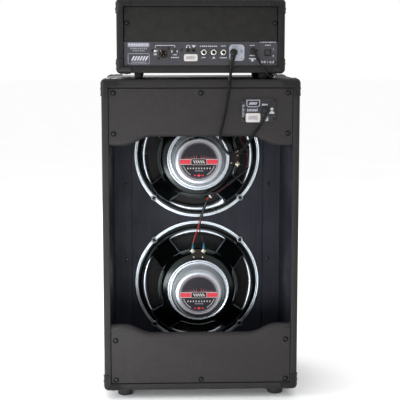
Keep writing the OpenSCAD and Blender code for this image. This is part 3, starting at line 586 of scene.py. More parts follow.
def coil_turns():
    """The wound part: each layer runs across three columns, then steps up to the next one."""
    low, high = box("dc_coil")
    centre = middle("dc_coil")
    columns = [(high.x - low.x) / 2 - DC_DIAMETER * (k + 0.5) for k in range(3)]
    layers = [low.z + DC_DIAMETER * (k + 0.5) for k in range(3)]
    places = [(r, layers[0]) for r in columns] + [(r, layers[1]) for r in reversed(columns)]
    places.append((columns[0], layers[2]))
    held, moving, step = 240, 60, 15
    found = []
    for degrees in range(0, 6 * 360 + 1, step):
        k = min(max(degrees - moving, 0) // (held + moving), len(places) - 1)
        left = degrees - moving - k * (held + moving) - held
        share = min(max(left / moving, 0), 1) if k < len(places) - 1 else 0
        share = share * share * (3 - 2 * share)
        nearer, farther = places[k], places[min(k + 1, len(places) - 1)]
        r, z = (a + (b - a) * share for a, b in zip(nearer, farther))
        angle = radians(180 + degrees)
        found.append((centre.x + r * cos(angle), centre.y + r * sin(angle), z))
    return found


def lead(name, points, diameter, replaces):
    """A round lead as one open curve through its points."""
    data = bpy.data.curves.new(name, "CURVE")
    data.dimensions = "3D"
    data.bevel_depth = diameter / 2 * MM
    data.bevel_resolution = 4
    data.resolution_u = 6
    data.use_fill_caps = True
    spline = data.splines.new("BEZIER")
    spline.bezier_points.add(len(points) - 1)
    for knot, p in zip(spline.bezier_points, points):
        knot.co = [c * MM for c in p]
        knot.handle_left_type = knot.handle_right_type = "AUTO"
    data.materials.append(JACKET)
    made = placed(name, data)
    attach(made, "root")
    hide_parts(*replaces)
    return made


def ribs(count, first, pitch, radius, taper, rib):
    """Rings of a strain relief: rib is one rib's (distance, drop) points, each rib thinner by taper."""
    return [(first + k * pitch + d, radius - taper * k - drop) for k in range(count) for d, drop in rib]


def plug_arm(shape, start, turn, rings, steps):
    """A plug's arm of (distance, radius) rings, turned by some degrees from straight down."""
    away = Vector((-sin(radians(turn)), 0, -cos(radians(turn))))
    return shape.tube([start + away * d for d, r in rings], [r for d, r in rings], steps)


def right_angle_plug(name, centre, face, turn, replaces=()):
    """Jack plug in its socket: round cap, grip ring, arm with a ribbed strain relief."""
    x, z = centre
    shape = Shape()
    shape.lathe([(0, -20), (1.6, -19.4), (2.4, -17.6), (2.1, -16.4), (3.1, -14), (3.1, 3.4)],
                centre, 24, 1, y=face)
    shape.lathe([(3.2, 3), (7.2, 3.1), (7.9, 3.9), (8, 5), (8, 13.4), (7.7, 14.8), (6.9, 15.9), (5.6, 16.5),
                 (5.2, 16.3), (4.9, 16.7), (2.5, 17), (0, 17)], centre, y=face)
    relief = ribs(6, 15, 2.6, 5.1, 0.17, [(0, 0), (1.4, 0), (1.6, 0.7), (2.4, 0.75)])
    plug_arm(shape, Vector((x, face + 10, z)), turn, [(2, 5.4), (8.2, 5.5), (9, 5.9), (13, 5.8), (14, 5.2),
                                                      *relief, (30.8, 4.1), (31.8, 3.9), (32, 3.4)], 28)
    return piece(name, shape, [MOULDED, NICKEL], replaces=replaces, sharp=50)


def dc_plug():
    """Barrel plug of the low-voltage lead, its ribbed relief leaning over to one side."""
    centre = middle("dc_inlet")
    at = (centre.x, centre.z)
    shape = Shape()
    shape.lathe([(0, -8), (2.7, -7.6), (2.7, 1.7)], at, 24, 1, y=REAR_FACE)
    shape.lathe([(2.7, 1.6), (4.5, 1.7), (5, 2.4), (5, 9.6), (4.6, 11), (3.6, 11.8), (0, 12)], at, 36,
                y=REAR_FACE)
    relief = ribs(4, 8, 2.1, 3.5, 0.2, [(0, 0), (1.2, 0), (1.4, 0.5), (2, 0.5)])
    plug_arm(shape, Vector((centre.x, REAR_FACE + 7, centre.z)), 33,
             [(2, 4.3), (7, 4.3), (7.6, 3.6), *relief, (16.6, 2.5), (17, 2.1)], 20)
    return piece("low_voltage_plug", shape, [MOULDED, NICKEL], replaces=("dc_plug",),
                 sharp=50)


def leads():
    """Both loose leads with their plugs."""
    head_plug = right_angle_plug("head_plug", (JACK_X[3], JACK_Z), REAR_FACE, -9, ("lead_plugs",))
    cab_plug = right_angle_plug("cab_plug", CAB_JACK, BACK_FACE + 2, -18)
    made = lead("speaker_cord", SPEAKER_LEAD, LEAD_DIAMETER, ("speaker_lead",))
    route = DC_ROUTE_OUT[::-1] + coil_turns()[1:-1][::-1] + DC_ROUTE_IN[::-1]
    made = lead("low_voltage_cord", route, DC_DIAMETER, ("dc_lead", "dc_coil"))
    dc_plug()


leads()


# ---------- boxes ----------


def wrapped_box(name, low, high, side, top, bottom, nodes, skin):
    """Four boards wrapped in one vinyl skin: round long edges, softened front and back edges."""
    corner_r, edge, lip = 9.0, 6.5, 1.6
    hole_low = low + Vector((side, 0, bottom))
    hole_high = high - Vector((side, 0, top))
    rows = []

    def outer(inset, y):
        rows.append(rounded_row(low, high, inset, y, corner_r - inset / 2, 7))

    def inner(outset, y):
        rows.append(rounded_row(hole_low, hole_high, -outset, y, 1.5, 7))

    steps = [radians(90 * k / 5) for k in range(6)]
    for a in steps:
        outer(edge * (1 - cos(a)), high.y - edge + edge * sin(a))
    for a in steps:
        inner(lip * (1 - sin(a)), high.y - lip + lip * cos(a))
    for a in steps:
        inner(lip * (1 - cos(a)), low.y + lip - lip * sin(a))
    for a in steps:
        outer(edge * (1 - sin(a)), low.y + edge - edge * cos(a))
    shape = Shape().rows(rows, around=True, ring=True)
    wide = len(rows[0])
    through = 2 * len(steps) - 1
    shape.marks[through * wide:(through + 1) * wide] = [1] * wide
    return piece(name, shape, [skin, INNER_PAINT], replaces=nodes)


def shaped_board(name, node, down):
    """Back board with a waved edge that is rolled over; down says which way that edge faces."""
    low, high = box(node)
    dip, level, run = 20.0, 106.0, 29.0
    roll, soft = 11.5, 1.6
    w = high.x
    edge_z, flat_z = (low.z, high.z) if down else (high.z, low.z)
    into = 1 if down else -1
    turn = w - run
    wave = [(-w, 0.0)]
    wave += [(-turn + (turn - level) * k / 16, dip * (1 - cos(pi * k / 16)) / 2) for k in range(17)]
    wave += [(-level + 2 * level * k / 12, dip) for k in range(1, 12)]
    wave += [(-x, d) for x, d in reversed(wave[:18])]

    def ring(rolled, eased, y):
        row = [(max(-w + eased, min(w - eased, x)), y, edge_z + into * (d + rolled)) for x, d in wave]
        return row + [(w - eased, y, flat_z - into * eased), (-w + eased, y, flat_z - into * eased)]

    rows = [ring(1.5, 0, low.y), ring(0, 0, low.y + 1.5)]
    for k in range(9):
        a = radians(90 * k / 8)
        y = high.y - roll + roll * sin(a)
        past = max(0.0, y - (high.y - soft))
        rows.append(ring(roll * (1 - cos(a)), soft - (soft * soft - past * past) ** 0.5, y))
    shape = Shape().rows(rows, around=True).cap(rows[0][::-1]).cap(rows[-1])
    return piece(name, shape, BOARD, replaces=(node,), sharp=50)


def flat_board(name, node, material, soft=1.5):
    """A plain board with softened edges in place of a CAD node."""
    low, high = box(node)
    return piece(name, Shape().block(low, high, soft), material, replaces=(node,), sharp=50)


def corner_shape(leg, strip):
    """A moulded protector over the corner where three faces meet at the origin of -X, -Y, -Z.

    Each face is a grid whose points share their places along the edges. The skin follows the box's
    rounded corner, swells to a lip at its rim, and leaves the back face open beyond a narrow strip.
    """
    inner_r, skin, lip, lip_w = 9.0, 1.5, 0.7, 4.5
    places = [0, 2, 4, 6, 8, 9.5, strip - 1.5, strip, strip + 3.5]
    places += [strip + 3.5 + (leg - strip - 3.5) * k / 6 for k in range(1, 7)]
    n = len(places)

    def surface(p, rim):
        core = Vector([min(c, -inner_r) for c in p])
        rise = skin + lip * (1 - rim / lip_w) ** 0.5 if rim < lip_w else skin
        return core + (Vector(p) - core).normalized() * (inner_r + rise)

    def pulled(i, j):
        """Rounds the far corner of a face's grid."""
        a, b, share = places[i] / leg, places[j] / leg, 0.3
        return -leg * a * (1 - share * a * b * b), -leg * b * (1 - share * b * a * a)

    shape = Shape()
    for face in range(3):
        points = []
        for i in range(n):
            for j in range(n):
                u, v = pulled(i, j) if face else (-places[i], -places[j])
                rim = leg - max(places[i], places[j])
                if face == 0:
                    rim = min(rim, max(0.0, max(strip - places[i], strip - places[j])))
                points.append(surface(((u, 0, v), (0, u, v), (u, v, 0))[face], rim))
        shape.add(points, [(i * n + j, (i + 1) * n + j, (i + 1) * n + j + 1, i * n + j + 1)
                           for i in range(n - 1) for j in range(n - 1)
                           if face or min(places[i], places[j]) < strip - 0.1])
    bm = welded(shape, 0.01)
    inside = Vector((-20, -20, -20))
    if sum(f.normal.dot(f.calc_center_median() - inside) for f in bm.faces) < 0:
        bmesh.ops.reverse_faces(bm, faces=bm.faces)
    bmesh.ops.solidify(bm, geom=bm.faces[:], thickness=1.6)
    return Shape().take(bm)


def facing(direction):
    """Turns a shape that faces +Y to face a direction."""
    return Vector((0, 1, 0)).rotation_difference(Vector(direction)).to_matrix().to_4x4()


def screw_place(x, z, y, angle, size, depth):
    """Where a screw of the rear faces sits, turned by some degrees and scaled."""
    turn = Matrix.Translation((x, y, z)) @ Matrix.Rotation(radians(angle), 4, "Y")
    return turn @ Matrix.Diagonal((size, depth, size, 1))


def corners(name, low, high, leg, strip):
    """Eight protectors on one box, with their screws."""
    one = corner_shape(leg, strip)
    spots = (((0, -20, -9), (1, 0, 0)), ((0, -9, -20), (1, 0, 0)), ((-20, -9, 0), (0, 0, 1)),
             ((-9, -20, 0), (0, 0, 1)))
    shape, heads = Shape(), Shape()
    for signs in product((-1, 1), repeat=3):
        corner = [(low, high)[s > 0][k] for k, s in enumerate(signs)]
        place = Matrix.Translation(corner) @ Matrix.Diagonal((*signs, 1))
        shape.copy_in(one, place)
        for spot, out in spots:
            at = place @ (Vector(spot) + Vector(out) * 1.2)
            away = Vector([c * s for c, s in zip(out, signs)])
            heads.copy_in(SCREW, Matrix.Translation(at) @ facing(away) @ Matrix.Scale(0.24, 4))
    made = piece(name, shape, MOULDED, sharp=50)
    piece(name + "_screws", heads, BLACK_STEEL, sharp=40)
    return made


def foot_piece(name, node, r):
    """Tapered rubber feet of radius r with a washer and screw in the recess underneath."""
    low, high = box(node)
    h, hole = high.z - low.z, r * 0.36
    shape = Shape()
    for x, y in product((low.x + r, high.x - r), (low.y + r, high.y - r)):
        z = low.z
        shape.upright([(hole, z + 0.4 * h), (hole, z + 0.6), (hole + 0.6, z), (r - 3.2, z),
                       (r - 2, z + 0.5), (r - 1.2, z + 1.7), (r - 0.4, z + h * 0.5), (r, z + h - 2.6),
                       (r - 0.2, z + h - 1.2), (r - 1, z + h), (0, z + h)], (x, y))
        shape.upright([(hole, z + 0.4 * h), (0.5, z + 0.4 * h - 0.3), (0, z + 0.4 * h - 0.3)], (x, y), 24, 1)
    return piece(name, shape, [RUBBER, ZINC], replaces=(node,), sharp=50)


# ---------- screws ----------


def cross_screw():
    """A domed screw head of radius 10 that faces +Y, with a cross recess, by cutting one from a dome."""
    dome = Shape().lathe([(0, -1), (10, -1), (10, 1.2), (9, 3), (7, 4.4), (4, 5.2), (0, 5.4)], steps=32)
    cross = Shape().block((-1.1, 2.2, -5.6), (1.1, 9, 5.6)).block((-5.6, 2.2, -1.1), (5.6, 9, 1.1))
    made = []
    for shape in (dome, cross):
        mesh = bpy.data.meshes.new("scratch")
        bm = welded(shape, 1e-4)
        bm.to_mesh(mesh)
        bm.free()
        made.append(placed("scratch", mesh))
    cut = made[0].modifiers.new("cut", "BOOLEAN")
    cut.operation, cut.object, cut.use_self = "DIFFERENCE", made[1], True
    result = made[0].evaluated_get(bpy.context.evaluated_depsgraph_get()).to_mesh()
    shape = Shape().add([v.co for v in result.vertices], [list(p.vertices) for p in result.polygons])
    for o in made:
        bpy.data.objects.remove(o)
    return shape


SCREW = cross_screw()


def bolts(centre):
    """Places of the four bolts on a speaker's rim."""
    return arc(centre.x, centre.z, BOLT_R, 45, 315, 3)


def screw_set():
    """Cup washers and screws of the back boards, pan heads of the plate, socket, rims and cleats."""
    shape = Shape()
    back_x, panel_x = 189.0, PANEL_HI.x - 6
    pair, three = (-back_x, back_x), (-back_x, 0, back_x)
    rows = ((683, three), (595, pair), (134.5, pair), (44, three))
    cups = [(x, z, BACK_FACE, 6.0) for z, xs in rows for x in xs]
    cups += [(x, HEAD_HI.z - 50, REAR_FACE, 5.2) for x in (-panel_x, panel_x)]
    for x, z, y, r in cups:
        shape.lathe([(r * 0.98, -0.3), (r, 0.4), (r * 0.9, 1.2), (r * 0.78, 1.7), (r * 0.66, 1.5),
                     (r * 0.6, 0.6), (r * 0.5, 0.4)], (x, z), 36, 2, y=y)
        shape.copy_in(SCREW, screw_place(x, z, y + 0.3, x + z, r * 0.064, 0.32))
    low, high = box("input_plate")
    pans = [(x, z, high.y, 3.3) for x in (low.x + 5, high.x - 5) for z in (low.z + 5.5, high.z - 5.5)]
    xlr_at = middle("xlr_socket")
    pans += [(xlr_at.x - d, xlr_at.z + d, REAR_FACE + 1.5, 2.7) for d in (-10.2, 10.2)]
    low, high = box("cleats")
    pans += [(x, z, BAFFLE_BACK + 18, 4.2) for x in (low.x + 28, high.x - 28) for z in (450, 266)]
    for x, z, y, r in pans:
        shape.copy_in(SCREW, screw_place(x, z, y, 3 * x + z, r * 0.1, 0.36))
    for centre in SPEAKERS.values():
        for x, z in bolts(centre):
            y = BAFFLE_BACK + 3
            shape.prism(arc(x, z, 4.6, 0, 300, 5), y + 0.4, y + 3.2, 1)
            shape.lathe([(0, 4.4), (2.4, 4.4), (2.6, 3.2)], (x, z), 20, 1, y=y)
    return piece("screw_heads", shape, [BLACK_STEEL, MOULDED, CUP], replaces=("screws",),
                 sharp=40)


def boxes():
    """Both wrapped boxes with their boards, corners, feet and screws."""
    wrapped_box("cabinet_shell", CAB_LO, CAB_HI, SIDE_T, TOP_T, SIDE_T, CAB_BOARDS, SKIN)
    wrapped_box("head_shell", HEAD_LO, HEAD_HI, SIDE_T, SIDE_T, SIDE_T, HEAD_BOARDS, HEAD_SKIN)
    shaped_board("upper_back", "cab_back_upper", True)
    shaped_board("lower_back", "cab_back_lower", False)
    flat_board("head_back", "head_back_board", HEAD_BOARD)
    flat_board("head_front", "head_front_board", GRILLE, 2.5)
    made = corners("cabinet_corners", CAB_LO, CAB_HI, 36, 13.5)
    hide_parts("corner_protectors")
    corners("head_corners", HEAD_LO, HEAD_HI, 30, 13.5)
    foot_piece("cabinet_feet", "cab_feet", 18.0)
    foot_piece("head_rubber_feet", "head_feet", 9.0)
    screw_set()


boxes()


# ---------- speakers ----------


def basket_wall(radius):
    """Depth of the basket's sloping wall at a radius."""
    share = min(max((radius - WINDOW_IN) / (WINDOW_OUT - WINDOW_IN), 0), 1)
    return BASKET_BACK - 12 + (BAFFLE_BACK + 17 - BASKET_BACK + 12) * share


def basket_frame(name, centre, node):
    """Pressed basket: sloping wall with four windows, and crowned spokes between them."""
    count = 4
    wall = [(84, BASKET_BACK - 1.1), (86.5, BASKET_BACK - 5)]
    first = len(wall)
    for k in range(count + 1):
        r = WINDOW_IN + (WINDOW_OUT - WINDOW_IN) * k / count
        wall.append((r, basket_wall(r)))
    last = first + count
    wall += [(r, BAFFLE_BACK + d) for r, d in ((134, 12), (136.5, 6), (140, 3), (145, 2.4))]
    across = [-1, -0.6, -0.2, 0.2, 0.6, 1]
    spoke = [0.25, 0.5, 0.75]
    rows = []
    for i, (r, y) in enumerate(wall):
        half = window_half(r)
        crown = 2.2 if first - 1 <= i <= last else 0.0
        turns = [(c * half, 0.0) for c in across]
        turns += [(half + (90 - 2 * half) * s, crown * sin(pi * s)) for s in spoke]
        row = []
        for quarter in range(4):
            for angle, lift in turns:
                a = radians(90 * quarter + angle)
                out = r + lift * 0.7
                row.append((centre.x + out * cos(a), y + lift * 0.7, centre.z + out * sin(a)))
        rows.append(row)
    per, n = len(across) + len(spoke), len(rows[0])
    open_cells = {(i, quarter * per + c) for i in range(first, last) for quarter in range(4)
                  for c in range(len(across) - 1)}
    faces = [(i * n + k, i * n + (k + 1) % n, (i + 1) * n + (k + 1) % n, (i + 1) * n + k)
             for i in range(len(rows) - 1) for k in range(n) if (i, k) not in open_cells]
    shape = Shape().add([p for row in rows for p in row], faces)
    made = piece(name, shape, BASKET, replaces=(node,), sharp=180, modifiers=[
        ("SUBSURF", {"levels": 2, "render_levels": 2}),
        ("SOLIDIFY", {"thickness": 1.4 * MM, "offset": 0})])
    cells = [(first, c) for c in across] + [(i, 1) for i in range(first + 1, last)]
    cells += [(last, c) for c in reversed(across)] + [(i, -1) for i in range(last - 1, first, -1)]
    corner = [(*wall[i], c * window_half(wall[i][0])) for i, c in cells]
    window_lips(name.replace("frame", "lips"), centre, corner)
    return made


def window_half(radius):
    """Half the angle a basket window spans at a radius."""
    share = min(max((radius - WINDOW_IN) / (WINDOW_OUT - WINDOW_IN), 0), 1)
    return 27 + 6 * share


def window_lips(name, centre, corner):
    """Turned-in flange round each window, deep along its outer arc where it follows the surround; its bright
    colour is a painted highlight, so that arc shows the widest bright band.

    corner holds (radius, depth, angle) of the window's edge on the wall's control grid; the edge itself is
    the cubic spline through it, as the smoothed wall has.
    """
    section = ((-0.35, -0.4), (-0.1, 1.3), (0.2, 1.6), (0.5, 0.9), (0.8, -0.6), (1, -2.4), (1.02, -4))
    shape = Shape()
    n = len(corner)
    for quarter in range(4):
        cage = []
        for r, y, angle in corner:
            a = radians(90 * quarter + angle)
            cage.append(Vector((centre.x + r * cos(a), y, centre.z + r * sin(a))))
        edge = []
        for i in range(n):
            p, q, t, u = (cage[(i + k) % n] for k in (-1, 0, 1, 2))
            for f in (0, 0.25, 0.5, 0.75):
                edge.append(((1 - f) ** 3 * p + (3 * f ** 3 - 6 * f * f + 4) * q
                             + (-3 * f ** 3 + 3 * f * f + 3 * f + 1) * t + f ** 3 * u) / 6)
        centre_of_window = sum(edge, Vector()) / len(edge)
        rows = []
        for i, p in enumerate(edge):
            along = (edge[(i + 1) % len(edge)] - edge[i - 1]).normalized()
            inward = Vector((along.z, 0, -along.x)).normalized()
            if inward.dot(centre_of_window - p) < 0:
                inward = -inward
            radial = Vector((p.x - centre.x, 0, p.z - centre.z)).normalized()
            facing_out = max(0.0, -inward.dot(radial))
            turned = abs(atan2(p.z - centre.z, p.x - centre.x) - radians(90 * quarter))
            turned = min(turned, 2 * pi - turned)
            deep = 1.7 + 6.4 * facing_out ** 3 * max(0.0, 1 - (turned / radians(33)) ** 3)
            rows.append([p + inward * deep * a + Vector((0, b, 0)) for a, b in section])
        shape.rows(rows, ring=True)
    return piece(name, shape, BASKET_PAINTED_HIGHLIGHT, sharp=60,
                 modifiers=[("SOLIDIFY", {"thickness": 0.8 * MM, "offset": 0})])


def rim_ring(name, centre):
    """Rolled outer rim with its gasket groove, and the raised rings round the four bolts, coloured as a
    painted highlight.
    """
    shape = Shape()
    shape.lathe([(144.2, 0.2), (144.2, 2.4), (144.8, 3.3), (146.2, 3.9), (147.8, 3.7), (148.6, 3.2),
                 (149.2, 3.2), (150, 3.6), (151.6, 3.5), (152.6, 2.8), (153, 1.4), (153, 0.2)],
                (centre.x, centre.z), 160, y=BAFFLE_BACK)
    for at in bolts(centre):
        shape.lathe([(8.8, 0.2), (8.6, 2.6), (7.8, 3.6), (7, 4.2), (6.2, 4.9), (5.6, 5.0), (5.1, 4.4), (5, 3),
                     (5, 0.6)], at, 32, y=BAFFLE_BACK)
    return piece(name, shape, BASKET_PAINTED_HIGHLIGHT, sharp=60)


def spider_plate(name, centre):
    """Flat back plate behind the magnet and the narrow shelf that carries the spider."""
    shape = Shape()
    shape.bands([(0, [(30, -2.2), (30, 0), (83, 0), (85, -1), (85, -2.2), (30, -2.2)]),
                 (0, [(60, -18), (94, -18), (96, -16), (94, -16), (60, -16.4), (60, -18)])],
                (centre.x, centre.z), 96, BASKET_BACK)
    return piece(name, shape, BASKET, sharp=40)


def magnet_cover(name, centre, node):
    """Ceramic ring and front plate under a plated cover: a rolled rim, a flange and a tall dome; its wall and
    shoulder are painted lighter as painted highlight, and its rim groove and the face round the label darker
    as painted shade.
    """
    at = (centre.x, centre.z)
    front = box(node)[0].y
    rim = front + 15
    shape = Shape()
    shape.lathe([(0, 0), (55, 0), (55, 8), (71, 8), (73.4, 9.6), (73.6, rim - 4.4 - front)], at, 128, 2,
                y=front)
    # The groove inside the rolled rim takes the darker copy, as painted shade.
    shape.bands([(0, [(73.6, -4.4), (74, -2.6), (73.8, -1.2), (73, -0.5), (71.6, -0.1), (70, -0.4)]),
                 (1, [(70, -0.4), (68.6, -0.9), (66, -0.7)]),
                 (0, [(66, -0.7), (64.2, -0.2), (63, 0.6)])], at, 128, rim)
    wall = rim - MAGNET_BACK
    # Wall and shoulder take the lighter copy as painted highlight; the face round the label takes the darker
    # copy as painted shade.
    shape.bands([(3, [(63, wall + 0.6), (62.2, wall + 1.6), (61.8, wall + 3), (60, -16), (59, -8),
                      (57.6, -4.2), (56.2, -2.5)]),
                 (1, [(56.2, -2.5), (53.4, -1.2), (50, -0.35), (0, -0.35)])], at, 128, MAGNET_BACK)
    return piece(name, shape, [COVER, COVER_PAINTED_SHADE, BLACK_STEEL, COVER_PAINTED_LIGHT], replaces=(node,), sharp=60)


def speaker_label(name, centre):
    """Round printed label: rings, a plain dark field, a red band with a blank plate, small dashes."""
    x, z = centre.x, centre.z
    paper_r, field_r = 48.2, 41.6
    shape = Print(MAGNET_BACK - 0.35, soft=0.18)

    def ring(r0, r1, rise, mark):
        shape.lathe([(r0, 0), (r0, rise), (r1, rise), (r1, 0)], (x, z), 96, mark, y=shape.y)

    def bar(x0, x1, z0, z1, rise, mark):
        shape.bar(x + x0, x + x1, z + z0, z + z1, mark, rise)

    shape.lathe([(paper_r, 0), (paper_r, 0.1), (0, 0.1)], (x, z), 96, 3, y=shape.y)
    for r0, r1, mark in ((46.9, 48.1, 0), (45.2, 45.6, 0), (43.9, 44.3, 1), (42.9, 43.3, 0), (41.7, 42.1, 1)):
        ring(r0, r1, 0.2, mark)
    shape.lathe([(field_r, 0), (field_r, 0.22), (0, 0.22)], (x, z), 96, 1, y=shape.y)
    for a0, a1 in ((198, 240), (300, 342)):
        shape.patch(arc(x, z, 37.8, a0, a1, 12) + arc(x, z, 36.6, a1, a0, 12), 0, 0.32)
    ring(39.6, 40.0, 0.3, 3)
    bar(-44, 44, -8.6, 4.2, 0.36, 0)
    bar(-43.7, 43.7, -7.4, 3.0, 0.46, 2)
    bar(-18.5, 18.5, -9.4, 5.0, 0.56, 0)
    bar(-17.6, 17.6, -8.6, 4.2, 0.66, 1)
    for k in range(5):
        shape.slanted(x - 14.6 + 5.4 * k, 3.2, 4, z - 5.6, z + 1.2, 0, 0.74)
    for k in (*range(-6, 0), *range(1, 7)):
        near = 1 - abs(k) / 7
        spread, tall = k * 4.6, 6.5 + 5.0 * near
        tip = (x + spread * 1.45, z + 5 + tall * (0.45 + 0.55 * near))
        shape.patch([(x + spread - 0.9, z + 4), (x + spread + 0.9, z + 4), tip], 2 if k % 2 else 3, 0.34)
    for k in range(-4, 5):
        bar(k * 6.4 - 1.3, k * 6.4 + 1.3, -19.2, -15.6, 0.34, 0)
    for k in range(-3, 3):
        bar(k * 3.4, k * 3.4 + 2.4, -24.6, -21.6, 0.34, 3)
    shape.patch([(x - 5, z - 34), (x, z - 37.2), (x + 5, z - 34), (x, z - 30.8)], 2, 0.36)
    for s in (-1, 1):
        shape.patch([(x + s * 5.6, z - 34), (x + s * 11, z - 32), (x + s * 11, z - 36)], 2, 0.36)
    return piece(name, shape, [LABEL, LABEL_DARK, LABEL_RED, LABEL_GREY], sharp=30)


def cone_piece(name, centre, node):
    """Ribbed paper cone with a dust cap and the voice coil's tube, moving with its own body."""
    neck, rim = BAFFLE_BACK + 55, BAFFLE_BACK + 6
    inner, outer = 25.4, 119.8
    steps, rib = 44, 0.45
    slope = []
    for k in range(steps + 1):
        t = k / steps
        ribbed = k % 4 == 0 and 0.35 < t < 0.95
        slope.append((inner + (outer - inner) * t,
                      neck + (rim + 0.5 - neck) * (t ** 0.9) + (rib if ribbed else 0)))
    back = [(inner, box(node)[1].y), (inner + 0.2, neck + 1.4)] + [(r, y + 0.9) for r, y in slope[1:]]
    cap = [(33, neck - 12.5), (28, neck - 15), (20, neck - 18.2), (11, neck - 20.2), (0, neck - 20.8)]
    shape = Shape().lathe(back + [(outer, rim)] + slope[:7:-1] + cap, (centre.x, centre.z), 96)
    return piece(name, shape, CONE, node, replaces=(node,), sharp=30)


def terminals():
    """Fibre tag boards with plated tags, rivets and blue crimp sleeves."""
    shape = Shape()
    y = BASKET_BACK
    outline = [(70, -15), (83, -15), (86, -18), (97, -18), (97, 18), (86, 18), (83, 15), (70, 15)]
    crimp = [(97, 2.7), (98, 3.1), (105, 3.1), (107, 2.5), (111, 2.2), (112.5, 1.7)]
    for key, angle, mark in (("upper", pi, 3), ("lower", -pi / 2, 2)):
        centre = SPEAKERS[key]
        turn = Matrix.Translation((centre.x, 0, centre.z)) @ Matrix.Rotation(angle, 4, "Y")
        shape.prism(outline, y + 1, y + 3, 0, turn)
        for z in (-13, 13):
            shape.block((88, y + 3, z - 3.1), (103, y + 3.8, z + 3.1), 0.3, 1, turn)
            shape.block((91.5, y + 3.6, z - 6.4), (94.5, y + 4.6, z + 6.4), 0.4, 1, turn)
            shape.lathe([(0, 4.6), (1.6, 4.4), (2.1, 3)], (78, z * 0.8), 16, 1, turn, y)
            shape.tube([turn @ Vector((d, y + 4.2, z)) for d, r in crimp], [r for d, r in crimp], 16, mark)
    return piece("terminal_tags", shape, [FIBRE, BRASS, BLUE, MOULDED],
                 replaces=("speaker_terminals",), sharp=40)


def speakers():
    """Two drivers alike, then the tag boards that both carry."""
    for key, centre in SPEAKERS.items():
        basket_frame(key + "_basket_frame", centre, key + "_basket")
        rim_ring(key + "_rim", centre)
        spider_plate(key + "_back_plate", centre)
        magnet_cover(key + "_magnet_cover", centre, key + "_magnet")
        speaker_label(key + "_label", centre)
        cone_piece(key + "_cone_paper", centre, key + "_cone")
    terminals()


speakers()

# Wire pairs as (x, y, z, half spread across, half spread upwards)
PLATE_WIRES = [
    (-139, 128, 650, 4, 0), (-137, 116, 646, 3, 0), (-132, 96, 636, 1.7, 0), (-122, 68, 622, 1.7, 0),
    (-111, 38, 606, 1.7, 0), (-103, 8, 592, 1.7, 0), (-99, -12, 576, 1.7, 0), (-103, -26, 560, 2, 0),
    (-112, -32, 546, 2, 2), (-118, -33, 532, 1, 7), (-114, -32, 520, 0, 12),
]
LINK_WIRES = [
    (-114, -31, 520, 0, 12), (-117, -29, 508, 1, 6), (-112, -27, 494, 1.7, 1), (-98, -25, 482, 1.7, 0),
    (-80, -23, 468, 1.7, 0), (-60, -21, 452, 1.7, 0), (-40, -18, 439, 1.7, 0), (-26, -17, 430, 1.7, 0),
    (-19, -18, 420, 1.7, 0), (-12, -20, 400, 1.7, 0), (-5, -23, 376, 1.7, 0), (-1, -27, 352, 2.5, 0),
    (0, -30, 334, 8, 0), (0, -31.5, 317, 13, 0),
]


def harness():
    """Red and black wires to both speakers, the red ones darker along their upper run as painted shade, a
    sleeve over part of them and a cable tie.
    """
    shape = Shape()
    steps = 5
    unshaded_from = 7  # the route point from which the link's red wire drops its painted shade and shows its own red
    for side in (-1, 1):
        feed, link = (smooth_path([(x + side * dx, y, z + side * dz) for x, y, z, dx, dz in route], steps)
                      for route in (PLATE_WIRES, LINK_WIRES))
        split = unshaded_from * steps
        for path, insulation in ((feed, 2), (link[:split + 1], 2), (link[split:], 0)):
            shape.tube(path, 1.3, 10, insulation if side > 0 else 1)
    piece("inner_wires", shape, [RED_WIRE, BLACK_WIRE, RED_WIRE_PAINTED_SHADE], replaces=("harness",),
          sharp=60)
    centre = smooth_path([p[:3] for p in LINK_WIRES], steps)
    sleeves = Shape()
    for low, high in ((372, 424), (456, 500)):
        covered = [p for p in centre if low < p.z < high]
        sleeves.tube(covered, [3.0] + [3.5] * (len(covered) - 2) + [3.0], 18)
    piece("wire_sleeve", sleeves, BLACK_WIRE, sharp=60)
    below, at, above = (min(centre, key=lambda p: abs(p.z - height)) for height in (425, 431, 437))
    turn = Matrix.Translation(at) @ facing((below - above).normalized())
    tie = Shape().lathe([(3.6, -1.2), (4.6, -1.2), (4.6, 1.2), (3.6, 1.2), (3.6, -1.2)], steps=24, turn=turn)
    tie.block((-5.4, -1.8, 3.4), (0.6, 1.8, 7.4), 0.5, 0, turn)
    tie.block((-8.5, -1.0, 4.6), (-4.8, 1.0, 5.8), 0.3, 0, turn)
    piece("cable_tie", tie, WHITE_PLASTIC, sharp=40)


harness()


# ---------- rear panel ----------


def socket_ring(shape, centre, face, side=1):
    """Jack socket seen from outside: dark washer, bright round nut, hollow nose and its body."""
    shape.bands([(1, [(7.2, 0), (7.2, 0.5), (6.9, 0.8), (5.6, 0.8)]),
                 (0, [(6.3, 0.5), (6.2, 1.6), (5.8, 2.2), (5.2, 2.5), (4.8, 2.5)]),
                 (0, [(4.8, 2.4), (4.7, 3.2), (4.3, 3.6), (3.6, 3.6), (3.3, 3.2), (3.25, 2.0), (3.25, -24)]),
                 (1, [(3.25, -24), (0, -24)])], centre, 40, face, side)
    x, z = centre
    low, high = sorted((face - side * 2, face - side * 30))
    shape.block((x - 8, low, z - 9), (x + 8, high, z + 9), 0.6, 1)


